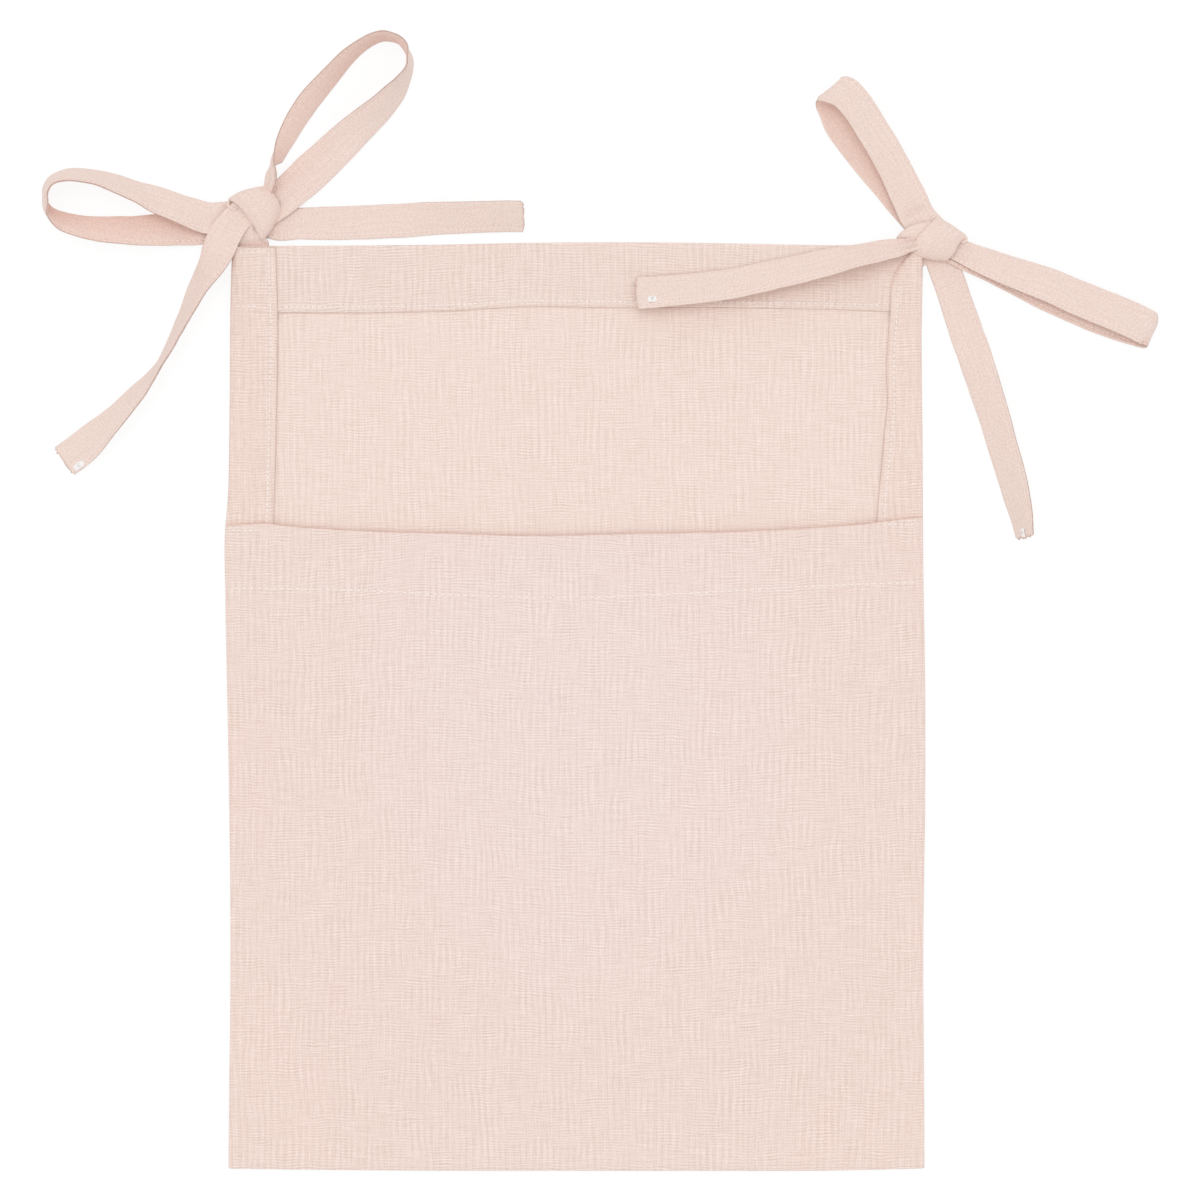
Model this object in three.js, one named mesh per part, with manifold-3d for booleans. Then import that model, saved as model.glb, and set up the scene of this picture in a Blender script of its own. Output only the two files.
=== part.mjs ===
// Hanging crib organizer: one flat cloth pocket on a back panel, tied on by a bow at each top corner.
// Millimetres. The organizer lies face up: X to the right, Y to its top edge, Z up out of the cloth.
// The origin is the middle of the back panel's underside.

import * as THREE from 'three';
import Module from 'manifold-3d';
import { mergeVertices } from 'three/addons/utils/BufferGeometryUtils.js';

// Driving dimensions of the panel
const panelWidth = 300;
const panelHeight = 399;
const cornerRadius = 3;
const cloth = 0.6;
const layerGap = 0.3;
const topHemDepth = 29;
const sideHemCloth = 1.0;
const leftHemWidth = 20.6;
const rightHemWidth = 20;
const rightHemTopWidth = 14.4;
const rightHemTaper = 87;

// Driving dimensions of the pocket
const pocketHeight = 279;
const mouthSag = 6;
const mouthHemDepth = 27;
const pocketRise = 4.5;
const sideSlope = 60;
const bottomSlope = 90;
const foldRadius = 5;
const seamAllowance = 10;
const hemTuck = 8;

// Driving dimensions of the ties
const strapWidth = 13.2;
const strapThickness = 1.2;
const rootLength = 14;
const rootMargin = 3;
const rootRamp = 14;
const knotHeight = 10;
const leftKnot = { inset: 11.6, rise: 12.9, rootOffset: 1.5 };
const rightKnot = { inset: -5.6, rise: 1.7, rootOffset: 14 };

// Colours
const blush = new THREE.MeshStandardMaterial({ color: 0xf0dcd4, roughness: 0.92, metalness: 0 });
const blushFront = new THREE.MeshStandardMaterial({ color: 0xefdad0, roughness: 0.92, metalness: 0 });
const blushStrap = new THREE.MeshStandardMaterial({ color: 0xf0d7cb, roughness: 0.9, metalness: 0 });

// Heights of the cloth layers, counted from the underside of the back panel
const backTop = cloth;
const hemUnder = backTop + layerGap;
const hemTop = hemUnder + cloth;
const stripUnder = hemTop + layerGap;
const stripTop = stripUnder + sideHemCloth;
const allowanceTop = hemUnder + sideHemCloth;
const frontUnderAtMouthCorner = allowanceTop + 2 * layerGap + cloth;

const left = -panelWidth / 2;
const right = panelWidth / 2;
const top = panelHeight / 2;
const bottom = -panelHeight / 2;
const hemEdge = top - topHemDepth;
const mouthCorner = bottom + pocketHeight;

const wasm = await Module();
wasm.setup();

function degrees(angle) {
  return angle * Math.PI / 180;
}

function smooth(t) {
  const s = Math.min(Math.max(t, 0), 1);
  return s * s * (3 - 2 * s);
}

// Values from one end to the other, no further apart than the step
function span(from, to, step) {
  const count = Math.max(1, Math.ceil(Math.abs(to - from) / step - 1e-6));
  return Array.from({ length: count + 1 }, (_, i) => from + (to - from) * i / count);
}

// Spans joined end to end
function joinSpans(...spans) {
  return spans.flatMap((values, i) => (i ? values.slice(1) : values));
}

// A closed body is turned so that its faces point out
function closedBody(positions, triangles) {
  let volume = 0;
  const a = new THREE.Vector3();
  const b = new THREE.Vector3();
  const c = new THREE.Vector3();
  for (const [i, j, k] of triangles) {
    volume += a.copy(positions[i]).dot(b.copy(positions[j]).cross(c.copy(positions[k])));
  }
  const faces = volume < 0 ? triangles.map(([i, j, k]) => [i, k, j]) : triangles;
  const geometry = new THREE.BufferGeometry().setFromPoints(positions);
  geometry.setIndex(faces.flat());
  geometry.computeVertexNormals();
  return geometry;
}

// Booleans
function toManifold(geometry) {
  const bare = geometry.clone();
  bare.deleteAttribute('normal');
  bare.deleteAttribute('uv');
  const merged = mergeVertices(bare, 1e-4);
  return new wasm.Manifold(new wasm.Mesh({
    numProp: 3,
    vertProperties: new Float32Array(merged.attributes.position.array),
    triVerts: new Uint32Array(merged.index.array),
  }));
}

function fromManifold(solid) {
  const mesh = solid.getMesh();
  const geometry = new THREE.BufferGeometry();
  geometry.setAttribute('position', new THREE.BufferAttribute(new Float32Array(mesh.vertProperties), 3));
  geometry.setIndex(new THREE.BufferAttribute(new Uint32Array(mesh.triVerts), 1));
  geometry.computeVertexNormals();
  return geometry;
}

// Only the largest piece of a cut solid is kept, so that no sliver is left beside it
function largestPiece(solid) {
  const pieces = solid.decompose();
  return pieces.reduce((best, piece) => (piece.volume() > best.volume() ? piece : best));
}

// Cloth sheets: a grid of columns and rows laid in plan, with its underside at a given height
function clothSheet({ columns, rows, plan = (x, y) => [x, y], underside, thickness }) {
  const positions = [];
  const across = columns.length;
  const layer = across * rows.length;
  for (const lift of [0, thickness]) {
    for (const v of rows) {
      for (const u of columns) {
        const [x, y] = plan(u, v);
        positions.push(new THREE.Vector3(x, y, underside(x, y) + lift));
      }
    }
  }
  const triangles = [];
  const quad = (a, b, c, d) => triangles.push([a, b, c], [a, c, d]);
  for (let r = 0; r < rows.length - 1; r += 1) {
    for (let c = 0; c < across - 1; c += 1) {
      const i = r * across + c;
      quad(i, i + across, i + across + 1, i + 1);
      quad(layer + i, layer + i + 1, layer + i + across + 1, layer + i + across);
    }
  }
  const edge = [];
  for (let c = 0; c < across - 1; c += 1) edge.push(c);
  for (let r = 0; r < rows.length - 1; r += 1) edge.push(r * across + across - 1);
  for (let c = across - 1; c > 0; c -= 1) edge.push((rows.length - 1) * across + c);
  for (let r = rows.length - 1; r > 0; r -= 1) edge.push(r * across);
  edge.forEach((i, n) => {
    const j = edge[(n + 1) % edge.length];
    quad(i, j, layer + j, layer + i);
  });
  return closedBody(positions, triangles);
}

// Straps: a flat ribbon along a route. A route point is x, y, height of the lowest edge and lean in
// degrees: 0 lies flat, 90 stands on edge and 180 lies flat with the other face up. Where the route
// turns over in a fold it also has the heading of the ribbon's width, and where the strap is
// gathered into a knot, the share of its width that is left. Leads lengthen its two ends.
function ribbon(route, { width = strapWidth, endWidth = width, thickness = strapThickness, crown = 0,
  grow = 0, leads = [0, 0], steps = 3 } = {}) {
  const centres = [];
  const widthDirections = [];
  const shares = route.map(([, , , , { share = 1 } = {}]) => share);
  route.forEach(([x, y, rest, lean, { heading } = {}], i) => {
    const before = route[Math.max(i - 1, 0)];
    const after = route[Math.min(i + 1, route.length - 1)];
    const turn = heading === undefined
      ? Math.atan2(after[1] - before[1], after[0] - before[0]) + Math.PI / 2
      : degrees(heading);
    const rise = Math.abs(Math.sin(degrees(lean))) * shares[i] * width / 2
      + Math.abs(Math.cos(degrees(lean))) * thickness / 2;
    centres.push(new THREE.Vector3(x, y, rest + rise));
    widthDirections.push(new THREE.Vector3(
      Math.cos(turn) * Math.cos(degrees(lean)),
      Math.sin(turn) * Math.cos(degrees(lean)),
      Math.sin(degrees(lean)),
    ));
  });
  const path = new THREE.CatmullRomCurve3(centres, false, 'centripetal');
  const widths = new THREE.CatmullRomCurve3(widthDirections, false, 'catmullrom', 0.5);
  const stations = (route.length - 1) * steps;
  const rings = [];
  for (let i = 0; i <= stations; i += 1) {
    const t = i / stations;
    const along = path.getTangent(t).normalize();
    const across = widths.getPoint(t).normalize();
    across.addScaledVector(along, -across.dot(along)).normalize();
    const face = along.clone().cross(across);
    if (i > 0 && face.dot(rings[i - 1].face) < 0) face.negate();
    const centre = path.getPoint(t);
    if (i === 0) centre.addScaledVector(along, -grow - leads[0]);
    if (i === stations) centre.addScaledVector(along, grow + leads[1]);
    const before = Math.min(Math.floor(i / steps), route.length - 2);
    const share = THREE.MathUtils.lerp(shares[before], shares[before + 1], i / steps - before);
    rings.push({
      centre, across, face, width: share * THREE.MathUtils.lerp(width, endWidth, t) + 2 * grow,
    });
  }
  return loftRings(rings, thickness + 2 * grow, crown);
}

// The ribbon's section has thin rounded edges, and a crown where it is pulled over a knot
function loftRings(rings, thickness, crown) {
  const edge = 0.9;
  const stops = crown ? [-1, -edge, -edge / 2, 0, edge / 2, edge, 1] : [-1, -edge, edge, 1];
  const count = stops.length;
  const positions = [];
  for (const { centre, across, face, width } of rings) {
    for (const side of [1, -1]) {
      for (const a of stops) {
        const half = Math.abs(a) === 1 ? thickness / 4 : thickness / 2;
        positions.push(centre.clone()
          .addScaledVector(across, a * width / 2)
          .addScaledVector(face, side * half + crown * (1 - a * a)));
      }
    }
  }
  const triangles = [];
  const quad = (a, b, c, d) => triangles.push([a, b, c], [a, c, d]);
  const ringSize = 2 * count;
  const outline = [...stops.keys(), ...[...stops.keys()].reverse().map((i) => count + i)];
  for (let r = 0; r < rings.length - 1; r += 1) {
    outline.forEach((i, n) => {
      const j = outline[(n + 1) % ringSize];
      quad(r * ringSize + i, r * ringSize + j, (r + 1) * ringSize + j, (r + 1) * ringSize + i);
    });
  }
  const last = (rings.length - 1) * ringSize;
  for (let i = 0; i < count - 1; i += 1) {
    quad(i, count + i, count + i + 1, i + 1);
    quad(last + i, last + i + 1, last + count + i + 1, last + count + i);
  }
  return closedBody(positions, triangles);
}

// Ties are laid out from the middle of their knot, which is placed from the panel's top corner
const leftKnotPlace = new THREE.Vector3(left + leftKnot.inset, top + leftKnot.rise, 0);
const rightKnotPlace = new THREE.Vector3(right - rightKnot.inset, top + rightKnot.rise, 0);

// The sewn root of each tie runs from the knot to behind the panel's top edge, which rides over it
const leftRootMiddle = leftKnotPlace.x - leftKnot.rootOffset;
const rightRootMiddle = rightKnotPlace.x - rightKnot.rootOffset;

function rootLift(x, y) {
  const lifts = [leftRootMiddle, rightRootMiddle].map((middle) => {
    const beside = Math.max(Math.abs(x - middle) - strapWidth / 2 - rootMargin, 0);
    const below = Math.max(top - rootLength - y, 0);
    return smooth(1 - Math.hypot(beside, below) / rootRamp);
  });
  return (strapThickness + layerGap) * Math.max(...lifts);
}

function roundedCorner(x, y) {
  const dx = cornerRadius - (panelWidth / 2 - Math.abs(x));
  const dy = cornerRadius - (y - bottom);
  const reach = Math.hypot(dx, dy);
  if (dx <= 0 || dy <= 0 || reach <= cornerRadius) return [x, y];
  const shrink = cornerRadius / reach;
  return [
    Math.sign(x) * (panelWidth / 2 - cornerRadius + dx * shrink),
    bottom + cornerRadius - dy * shrink,
  ];
}

// Panel layers
const fine = 5;
const coarse = 60;
const cornerZone = 40;
const cornerSteps = [0, 0.3 * cornerRadius, cornerRadius];
const panelColumns = joinSpans(
  cornerSteps.map((d) => left + d),
  span(left + cornerRadius, left + cornerZone, fine),
  span(left + cornerZone, right - cornerZone, coarse),
  span(right - cornerZone, right - cornerRadius, fine),
  cornerSteps.map((d) => right - d).reverse(),
);
const panelRows = joinSpans(
  cornerSteps.map((d) => bottom + d),
  span(bottom + cornerRadius, hemEdge - fine, coarse),
  span(hemEdge - fine, hemEdge, fine),
  span(hemEdge, top, fine),
);

function backPanel() {
  return clothSheet({
    columns: panelColumns,
    rows: panelRows,
    plan: roundedCorner,
    underside: rootLift,
    thickness: cloth,
  });
}

function topHem() {
  return clothSheet({
    columns: panelColumns,
    rows: span(hemEdge, top, fine),
    underside: (x, y) => hemUnder + rootLift(x, y),
    thickness: cloth,
  });
}

// A side hem lies over the top hem and steps down past its edge to the back panel
const hemStep = 4;
const stepFoot = hemEdge - hemStep - 1;
function stripUnderside(x, y) {
  const over = smooth((y - stepFoot) / hemStep);
  return hemUnder + (stripUnder - hemUnder) * over + rootLift(x, y);
}

function sideHem(outer, topWidth, lowWidth) {
  const side = Math.sign(outer);
  return clothSheet({
    columns: span(0, 1, 1 / 4),
    rows: joinSpans(
      span(mouthCorner - hemTuck, stepFoot, coarse),
      span(stepFoot, hemEdge, hemStep / 3),
      span(hemEdge, top, fine),
    ),
    plan: (u, y) => {
      const width = topWidth + (lowWidth - topWidth) * smooth((top - y) / rightHemTaper);
      return [outer - side * u * width, y];
    },
    underside: stripUnderside,
    thickness: sideHemCloth,
  });
}

// Pocket front: sewn down along both sides and the bottom, standing a little proud in the middle
function mouthLine(x) {
  return mouthCorner - mouthSag * (1 - (2 * x / panelWidth) ** 2);
}

// Near the mouth the front lies over the lower ends of the side hems
const hemEndRise = 2.5 * hemTuck;
function frontUnderside(x, y) {
  const fromSide = panelWidth / 2 - Math.abs(x);
  const fromBottom = y - bottom;
  const fromEdge = Math.min(fromSide, fromBottom);
  const round = Math.sqrt(Math.max(0, 1 - (1 - Math.min(fromEdge / foldRadius, 1)) ** 2));
  const overHemEnd = fromBottom > fromSide ? smooth((y - (mouthCorner - hemEndRise)) / hemTuck) : 0;
  const edge = hemUnder + (frontUnderAtMouthCorner - hemUnder) * Math.max(round, overHemEnd);
  return edge + pocketRise * smooth(fromSide / sideSlope) * smooth(fromBottom / bottomSlope);
}

const marginSteps = [0, 0.2, 0.6, 1].map((share) => share * foldRadius);
const medium = 14;
const pocketColumns = joinSpans(
  marginSteps.map((d) => left + d),
  span(left + foldRadius, left + sideSlope, medium),
  span(left + sideSlope, right - sideSlope, coarse),
  span(right - sideSlope, right - foldRadius, medium),
  marginSteps.map((d) => right - d).reverse(),
);

function pocketFront() {
  const rows = joinSpans(
    marginSteps.map((d) => bottom + d),
    span(bottom + foldRadius, bottom + bottomSlope, medium),
    span(bottom + bottomSlope, mouthCorner - mouthHemDepth, coarse),
    span(mouthCorner - mouthHemDepth, mouthCorner, hemTuck / 2),
  );
  return clothSheet({
    columns: pocketColumns,
    rows,
    plan: (x, y) => {
      const upper = smooth((y - (mouthCorner - mouthHemDepth)) / mouthHemDepth);
      const [px, py] = roundedCorner(x, y);
      return [px, py + (mouthLine(x) - mouthCorner) * upper];
    },
    underside: frontUnderside,
    thickness: cloth,
  });
}

// The pocket's mouth edge is turned inside and hangs behind the front
function mouthHem() {
  const inner = pocketColumns.filter((x) => panelWidth / 2 - Math.abs(x) >= marginSteps[2] - 1e-6);
  return clothSheet({
    columns: inner,
    rows: span(0, mouthHemDepth, hemTuck / 2),
    plan: (x, depth) => [x, mouthLine(x) - depth],
    underside: (x, y) => frontUnderside(x, y) - layerGap - cloth,
    thickness: cloth,
  });
}

// Seam allowances lie inside the pocket, just in from the folded edges
const allowanceInset = marginSteps[2];
function sideAllowance(side) {
  const outer = side * (panelWidth / 2 - allowanceInset);
  return clothSheet({
    columns: span(outer - side * seamAllowance, outer, seamAllowance),
    rows: span(bottom + allowanceInset + seamAllowance + layerGap,
      mouthCorner - mouthSag - mouthHemDepth - layerGap, panelHeight),
    underside: () => hemUnder,
    thickness: sideHemCloth,
  });
}

function bottomAllowance() {
  return clothSheet({
    columns: span(left + allowanceInset, right - allowanceInset, panelWidth),
    rows: span(bottom + allowanceInset, bottom + allowanceInset + seamAllowance, seamAllowance),
    underside: () => hemUnder,
    thickness: sideHemCloth,
  });
}

// Routes of the straps, in millimetres from the middle of their knot
const overOneStrap = strapThickness + 1.5 * layerGap;
const overTwoStraps = 2 * overOneStrap;
const overStrip = stripTop + strapThickness + 2 * layerGap;
const overHem = hemTop + 2 * layerGap;

// A strap lifts about the line where it leaves its knot: a point of the line, and the heading of
// the strap across it
const lead = 3;
const loopLeads = [lead, lead];
const tailLeads = [lead, 0];

const leftSideLoop = {
  hinge: { at: [-24, -3.8], heading: 180 },
  leads: loopLeads,
  route: [
    [-24, -1, overOneStrap, 0], [-35, 2, 1.2, 28], [-48, 7.7, 0.3, 50], [-61.5, 13, 0, 62],
    [-73, 16, 0, 70], [-82, 15, 0, 76], [-87.5, 11.5, 0, 82], [-90, 5.5, 0, 90], [-88, 0, 0, 102],
    [-83, -3.5, 0, 118], [-73, -6.3, 0, 134], [-60, -7.3, 0, 148], [-46.5, -7.4, 0, 164],
    [-35, -7, 0, 176], [-24, -6.6, 0, 180],
  ],
};
const leftTopLoop = {
  hinge: { at: [7.3, 7.7], heading: 36 },
  leads: loopLeads,
  route: [
    [9.4, 4.9, overOneStrap, 0], [15, 9.6, 1.3, 0], [26.3, 20, 0.2, 6], [39, 31.4, 0, 24],
    [57, 49.9, 0, 48], [63.5, 57.5, 0, 66], [66.3, 64.5, 0, 84], [63.5, 72, 0, 97],
    [57.2, 76.2, 0, 103], [49.9, 74.7, 0, 109], [42.2, 68.7, 0, 116], [34.6, 61.1, 0, 121],
    [27.5, 53.1, 0, 126], [20.7, 44.8, 0, 126], [15.1, 35.5, 0, 119],
    [9.7, 24.1, 0.8, 112, { share: 0.9 }], [6.5, 15.1, 2.4, 138, { share: 0.7 }],
    [5.3, 10.5, overTwoStraps, 168, { share: 0.45 }],
  ],
};
const leftLongTail = {
  hinge: { at: [18.9, -4.7], heading: 0 },
  leads: tailLeads,
  route: [
    [18.9, -4.7, 0, 0], [41, -4.3, 0, 8], [62, -3.8, 0, 15], [97, -2.6, 0, 22], [115.8, -1.4, 0, 24],
  ],
};
const leftHangingTail = {
  hinge: { at: [-7.6, -2.2], heading: 236 },
  leads: tailLeads,
  route: [
    [-7.6, -2.2, overTwoStraps, 0], [-15.1, -13.3, overTwoStraps, 20], [-22.6, -29.7, 0.5, 52],
    [-30.1, -45.6, 0, 66], [-38, -59.4, 0, 73], [-42.4, -67, 0, 74], [-52, -77.2, 0, 58],
    [-64.5, -90.6, 0, 34], [-80.9, -105.7, 0, 0],
  ],
};
const rightTopLoop = {
  hinge: { at: [-10.2, 10.7], heading: 120 },
  leads: loopLeads,
  route: [
    [-9.6, 11, 3, 0], [-12.8, 18.1, 4, 0], [-18.1, 28.8, 5.5, 0], [-24.5, 40.5, 7, 0],
    [-31, 51.4, 8.2, 0], [-37, 59.2, 8.6, 0], [-41.8, 63, 7.4, 0, { heading: 216 }],
    [-44.6, 63.6, 4.6, 0, { heading: 218 }], [-45.4, 61, 1.8, 0, { heading: 218 }],
    [-44.6, 56, 0.4, 180], [-42.5, 49.7, 0.1, 180], [-37, 41.5, 0, 180], [-30.3, 33.1, 0, 180],
    [-23, 24.3, 0, 180], [-15.1, 14.8, 0, 180], [-10.9, 10.4, 0, 180],
  ],
};
const rightSideLoop = {
  hinge: { at: [14, -7.8], heading: -20 },
  leads: loopLeads,
  route: [
    [12.2, -6.3, 1.9, -15, { share: 0.8 }], [28, -13.8, 1.9, -30, { share: 0.9 }],
    [49.5, -20.9, 2.4, -30], [73.2, -30.6, 4, -10], [86, -35.8, 4.8, 0],
    [90.4, -37.6, 4.2, 0, { heading: 70 }], [91.8, -38.4, 2.5, 0, { heading: 70 }],
    [90.4, -38.9, 1, 0, { heading: 70 }], [86, -38.8, 0.5, 180], [70.2, -34.6, 0, 180],
    [47.8, -25.2, 0, 180], [28.8, -15.5, 0, 180], [13.6, -8.6, 0, 180],
  ],
};
const rightLongTail = {
  hinge: { at: [-13.5, -3.3], heading: 194 },
  leads: tailLeads,
  route: [
    [-13.5, -3.3, overStrip, 20, { share: 0.45 }], [-18.2, -4.4, overStrip, 34, { share: 0.7 }],
    [-33.6, -7.7, overHem + 1.2, 38], [-48.9, -10.6, overHem, 30], [-64.3, -14.3, overHem, 24],
    [-93, -20.1, overHem, 20], [-119.2, -22.9, overHem, 16], [-130.2, -23.6, overHem, 12],
  ],
};
const rightHangingTail = {
  hinge: { at: [4.3, -15.8], heading: -73 },
  leads: tailLeads,
  route: [
    [4.3, -15.8, 0, 0], [7.3, -25.6, 0, 0], [13.6, -45.1, 0, 4], [19.6, -64.4, 0, 8],
    [26.1, -86.6, 0, 8], [32.5, -105.7, 0, 14], [36.1, -119.7, 0, 40], [37.4, -128.7, 0, 62],
  ],
};

const leftRootRoute = [
  [0, -3, 0, 0], [-0.7 * leftKnot.rootOffset, -leftKnot.rise, 0, 0],
  [-leftKnot.rootOffset, -leftKnot.rise - rootLength, 0, 0],
];
const rightRootRoute = [
  [-1, -2, 0, 0], [-9, -5, 0, 0], [-0.95 * rightKnot.rootOffset, -9, 0, 0],
  [-rightKnot.rootOffset, -rightKnot.rise - rootLength, 0, 0],
];

// Everything on one side of a strap's hinge line
const blockSize = 60;
function besideHinge({ at, heading }, side, offset) {
  const block = new THREE.BoxGeometry(blockSize, blockSize, blockSize);
  block.translate(side * blockSize / 2 + offset, 0, 0);
  block.rotateZ(degrees(heading));
  block.translate(at[0], at[1], 0);
  return toManifold(block);
}

function strapSolid(strap, grow = 0) {
  const { route, leads, hinge } = strap;
  return toManifold(ribbon(route, { grow, leads })).subtract(besideHinge(hinge, -1, -grow));
}

// Knots: a crowned band pulled over the bundle of strap inside. A stub of the bundle leads from
// inside the knot to the hinge line of each free strap.
const leftKnotShape = {
  middle: [2, 1.3], heading: -54.6, length: 18.6, startWidth: 16, endWidth: 13.4,
  straps: [leftSideLoop, leftTopLoop, leftLongTail, leftHangingTail],
  stubs: [
    { strap: leftSideLoop, route: [[-2, 0, 0, 180], [-12, -3.5, 0, 180], leftSideLoop.route.at(-1)] },
    {
      strap: leftSideLoop,
      route: [[-2, 0, overOneStrap, 0], [-12, -0.8, overOneStrap, 0], leftSideLoop.route[0]],
    },
    { strap: leftLongTail, route: [[3, -2, 0, 0], [10, -4.6, 0, 0], leftLongTail.route[0]] },
    { strap: leftTopLoop, route: [[1, -1, overOneStrap, 0], leftTopLoop.route[0]] },
    { strap: leftTopLoop, route: [[3, 5, overTwoStraps, 168, { share: 0.45 }], leftTopLoop.route.at(-1)] },
    { strap: leftHangingTail, route: [[2, 4, overTwoStraps, 0], leftHangingTail.route[0]] },
  ],
};
const rightKnotShape = {
  middle: [0.6, -0.9], heading: -127, length: 18, startWidth: 14.2, endWidth: 15.6,
  straps: [rightTopLoop, rightSideLoop, rightLongTail, rightHangingTail],
  stubs: [
    { strap: rightTopLoop, route: [[-2, 2, 3, 0], rightTopLoop.route[0]] },
    { strap: rightTopLoop, route: [[-2, 2, 0, 180], rightTopLoop.route.at(-1)] },
    { strap: rightLongTail, route: [[0, 0, overStrip, 20, { share: 0.45 }], rightLongTail.route[0]] },
    { strap: rightSideLoop, route: [[1, -1, 1.9, -15, { share: 0.8 }], rightSideLoop.route[0]] },
    { strap: rightSideLoop, route: [[1, -1, 0, 180], rightSideLoop.route.at(-1)] },
    { strap: rightHangingTail, route: [[0, -3, 0, 0], rightHangingTail.route[0]] },
  ],
};
const underBandRoute = [
  [-1, 6, overStrip + 0.6, 10], [-8.5, 4, overStrip, 12], [-13.6, 2.4, overStrip - 1.6, 14],
];
const underBandWidth = 7;
const waistShare = 0.42;
const footShare = 0.42;
const bandCrown = 0.8;
const archAngles = span(200, -20, 20);

function archPoint(angle, length, height, waist) {
  const sine = Math.sin(degrees(angle));
  const reach = Math.cos(degrees(angle)) * length / 2;
  return [reach, waist + sine * (sine < 0 ? waist : height - waist)];
}

function knotBand(knot, grow = 0) {
  const runX = Math.cos(degrees(knot.heading));
  const runY = Math.sin(degrees(knot.heading));
  const route = archAngles.map((angle) => {
    const [reach, z] = archPoint(angle, knot.length, knotHeight, waistShare * knotHeight);
    return [
      knot.middle[0] + runX * reach, knot.middle[1] + runY * reach, z - strapThickness / 2, 0,
      { heading: knot.heading + 90 },
    ];
  });
  const band = ribbon(route, {
    width: knot.startWidth, endWidth: knot.endWidth, crown: bandCrown, grow, steps: 1,
  });
  return toManifold(band);
}

// The bundle inside the band is an arch-shaped block, with a stub for each strap end
function knotCore(knot, grow = 0) {
  const inset = strapThickness / 2 + layerGap - grow;
  const shape = new THREE.Shape(archAngles.map((angle) => {
    const [reach, z] = archPoint(angle, knot.length - 2 * inset, knotHeight - inset, waistShare * knotHeight);
    return new THREE.Vector2(reach, z);
  }));
  const foot = footShare * knot.length;
  shape.lineTo(foot, -grow);
  shape.lineTo(-foot, -grow);
  const depth = Math.min(knot.startWidth, knot.endWidth) - 2 * strapThickness + 2 * grow;
  const geometry = new THREE.ExtrudeGeometry(shape, { depth, bevelEnabled: false, steps: 1 });
  geometry.translate(0, 0, -depth / 2);
  geometry.rotateX(Math.PI / 2);
  geometry.rotateZ(degrees(knot.heading));
  geometry.translate(knot.middle[0], knot.middle[1], 0);
  return toManifold(geometry);
}

function stubSolid({ strap, route }, grow) {
  return toManifold(ribbon(route, { grow, leads: [0, lead], steps: 4 }))
    .subtract(besideHinge(strap.hinge, 1, grow - layerGap));
}

function wholeBundle(knot, grow = 0) {
  return knot.stubs.reduce((bundle, stub) => bundle.add(stubSolid(stub, grow)), knotCore(knot, grow));
}

// A knot that reaches over the panel's corner is cut clear of its layers
function panelCorner(place) {
  const block = new THREE.BoxGeometry(
    panelWidth + 2 * layerGap, panelHeight + 2 * layerGap, 2 * (overStrip - layerGap),
  );
  block.translate(-place.x, -place.y, 0);
  return toManifold(block);
}

function cutClear(solid, straps) {
  return straps.reduce((rest, strap) => rest.subtract(strapSolid(strap, layerGap)), solid);
}

function cutKnot(knot, place) {
  const corner = panelCorner(place);
  const band = cutClear(knotBand(knot), knot.straps).subtract(corner);
  const bundle = cutClear(wholeBundle(knot), knot.straps).subtract(knotBand(knot, layerGap)).subtract(corner);
  return { band: largestPiece(band), bundle: largestPiece(bundle) };
}

function clearOfKnot(route, knot, options = {}) {
  const piece = toManifold(ribbon(route, options))
    .subtract(wholeBundle(knot, layerGap))
    .subtract(knotBand(knot, layerGap));
  return largestPiece(cutClear(piece, knot.straps));
}

const group = new THREE.Group();

function addPiece(parent, name, geometry, material) {
  const mesh = new THREE.Mesh(geometry, material);
  mesh.name = name;
  parent.add(mesh);
  return mesh;
}

addPiece(group, 'back_panel', backPanel(), blush);
addPiece(group, 'top_hem', topHem(), blush);
addPiece(group, 'left_side_hem', sideHem(left, leftHemWidth, leftHemWidth), blush);
addPiece(group, 'right_side_hem', sideHem(right, rightHemTopWidth, rightHemWidth), blush);
addPiece(group, 'pocket_front', pocketFront(), blushFront);
addPiece(group, 'pocket_mouth_hem', mouthHem(), blushFront);
addPiece(group, 'left_seam_allowance', sideAllowance(-1), blush);
addPiece(group, 'right_seam_allowance', sideAllowance(1), blush);
addPiece(group, 'bottom_seam_allowance', bottomAllowance(), blush);

const leftTie = new THREE.Group();
leftTie.position.copy(leftKnotPlace);
group.add(leftTie);
const leftCut = cutKnot(leftKnotShape, leftKnotPlace);
addPiece(leftTie, 'left_tie_root', fromManifold(clearOfKnot(leftRootRoute, leftKnotShape)), blushStrap);
addPiece(leftTie, 'left_knot_bundle', fromManifold(leftCut.bundle), blushStrap);
addPiece(leftTie, 'left_knot_band', fromManifold(leftCut.band), blushStrap);
addPiece(leftTie, 'left_side_loop', fromManifold(strapSolid(leftSideLoop)), blushStrap);
addPiece(leftTie, 'left_top_loop', fromManifold(strapSolid(leftTopLoop)), blushStrap);
addPiece(leftTie, 'left_long_tail', fromManifold(strapSolid(leftLongTail)), blushStrap);
addPiece(leftTie, 'left_hanging_tail', fromManifold(strapSolid(leftHangingTail)), blushStrap);

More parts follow.
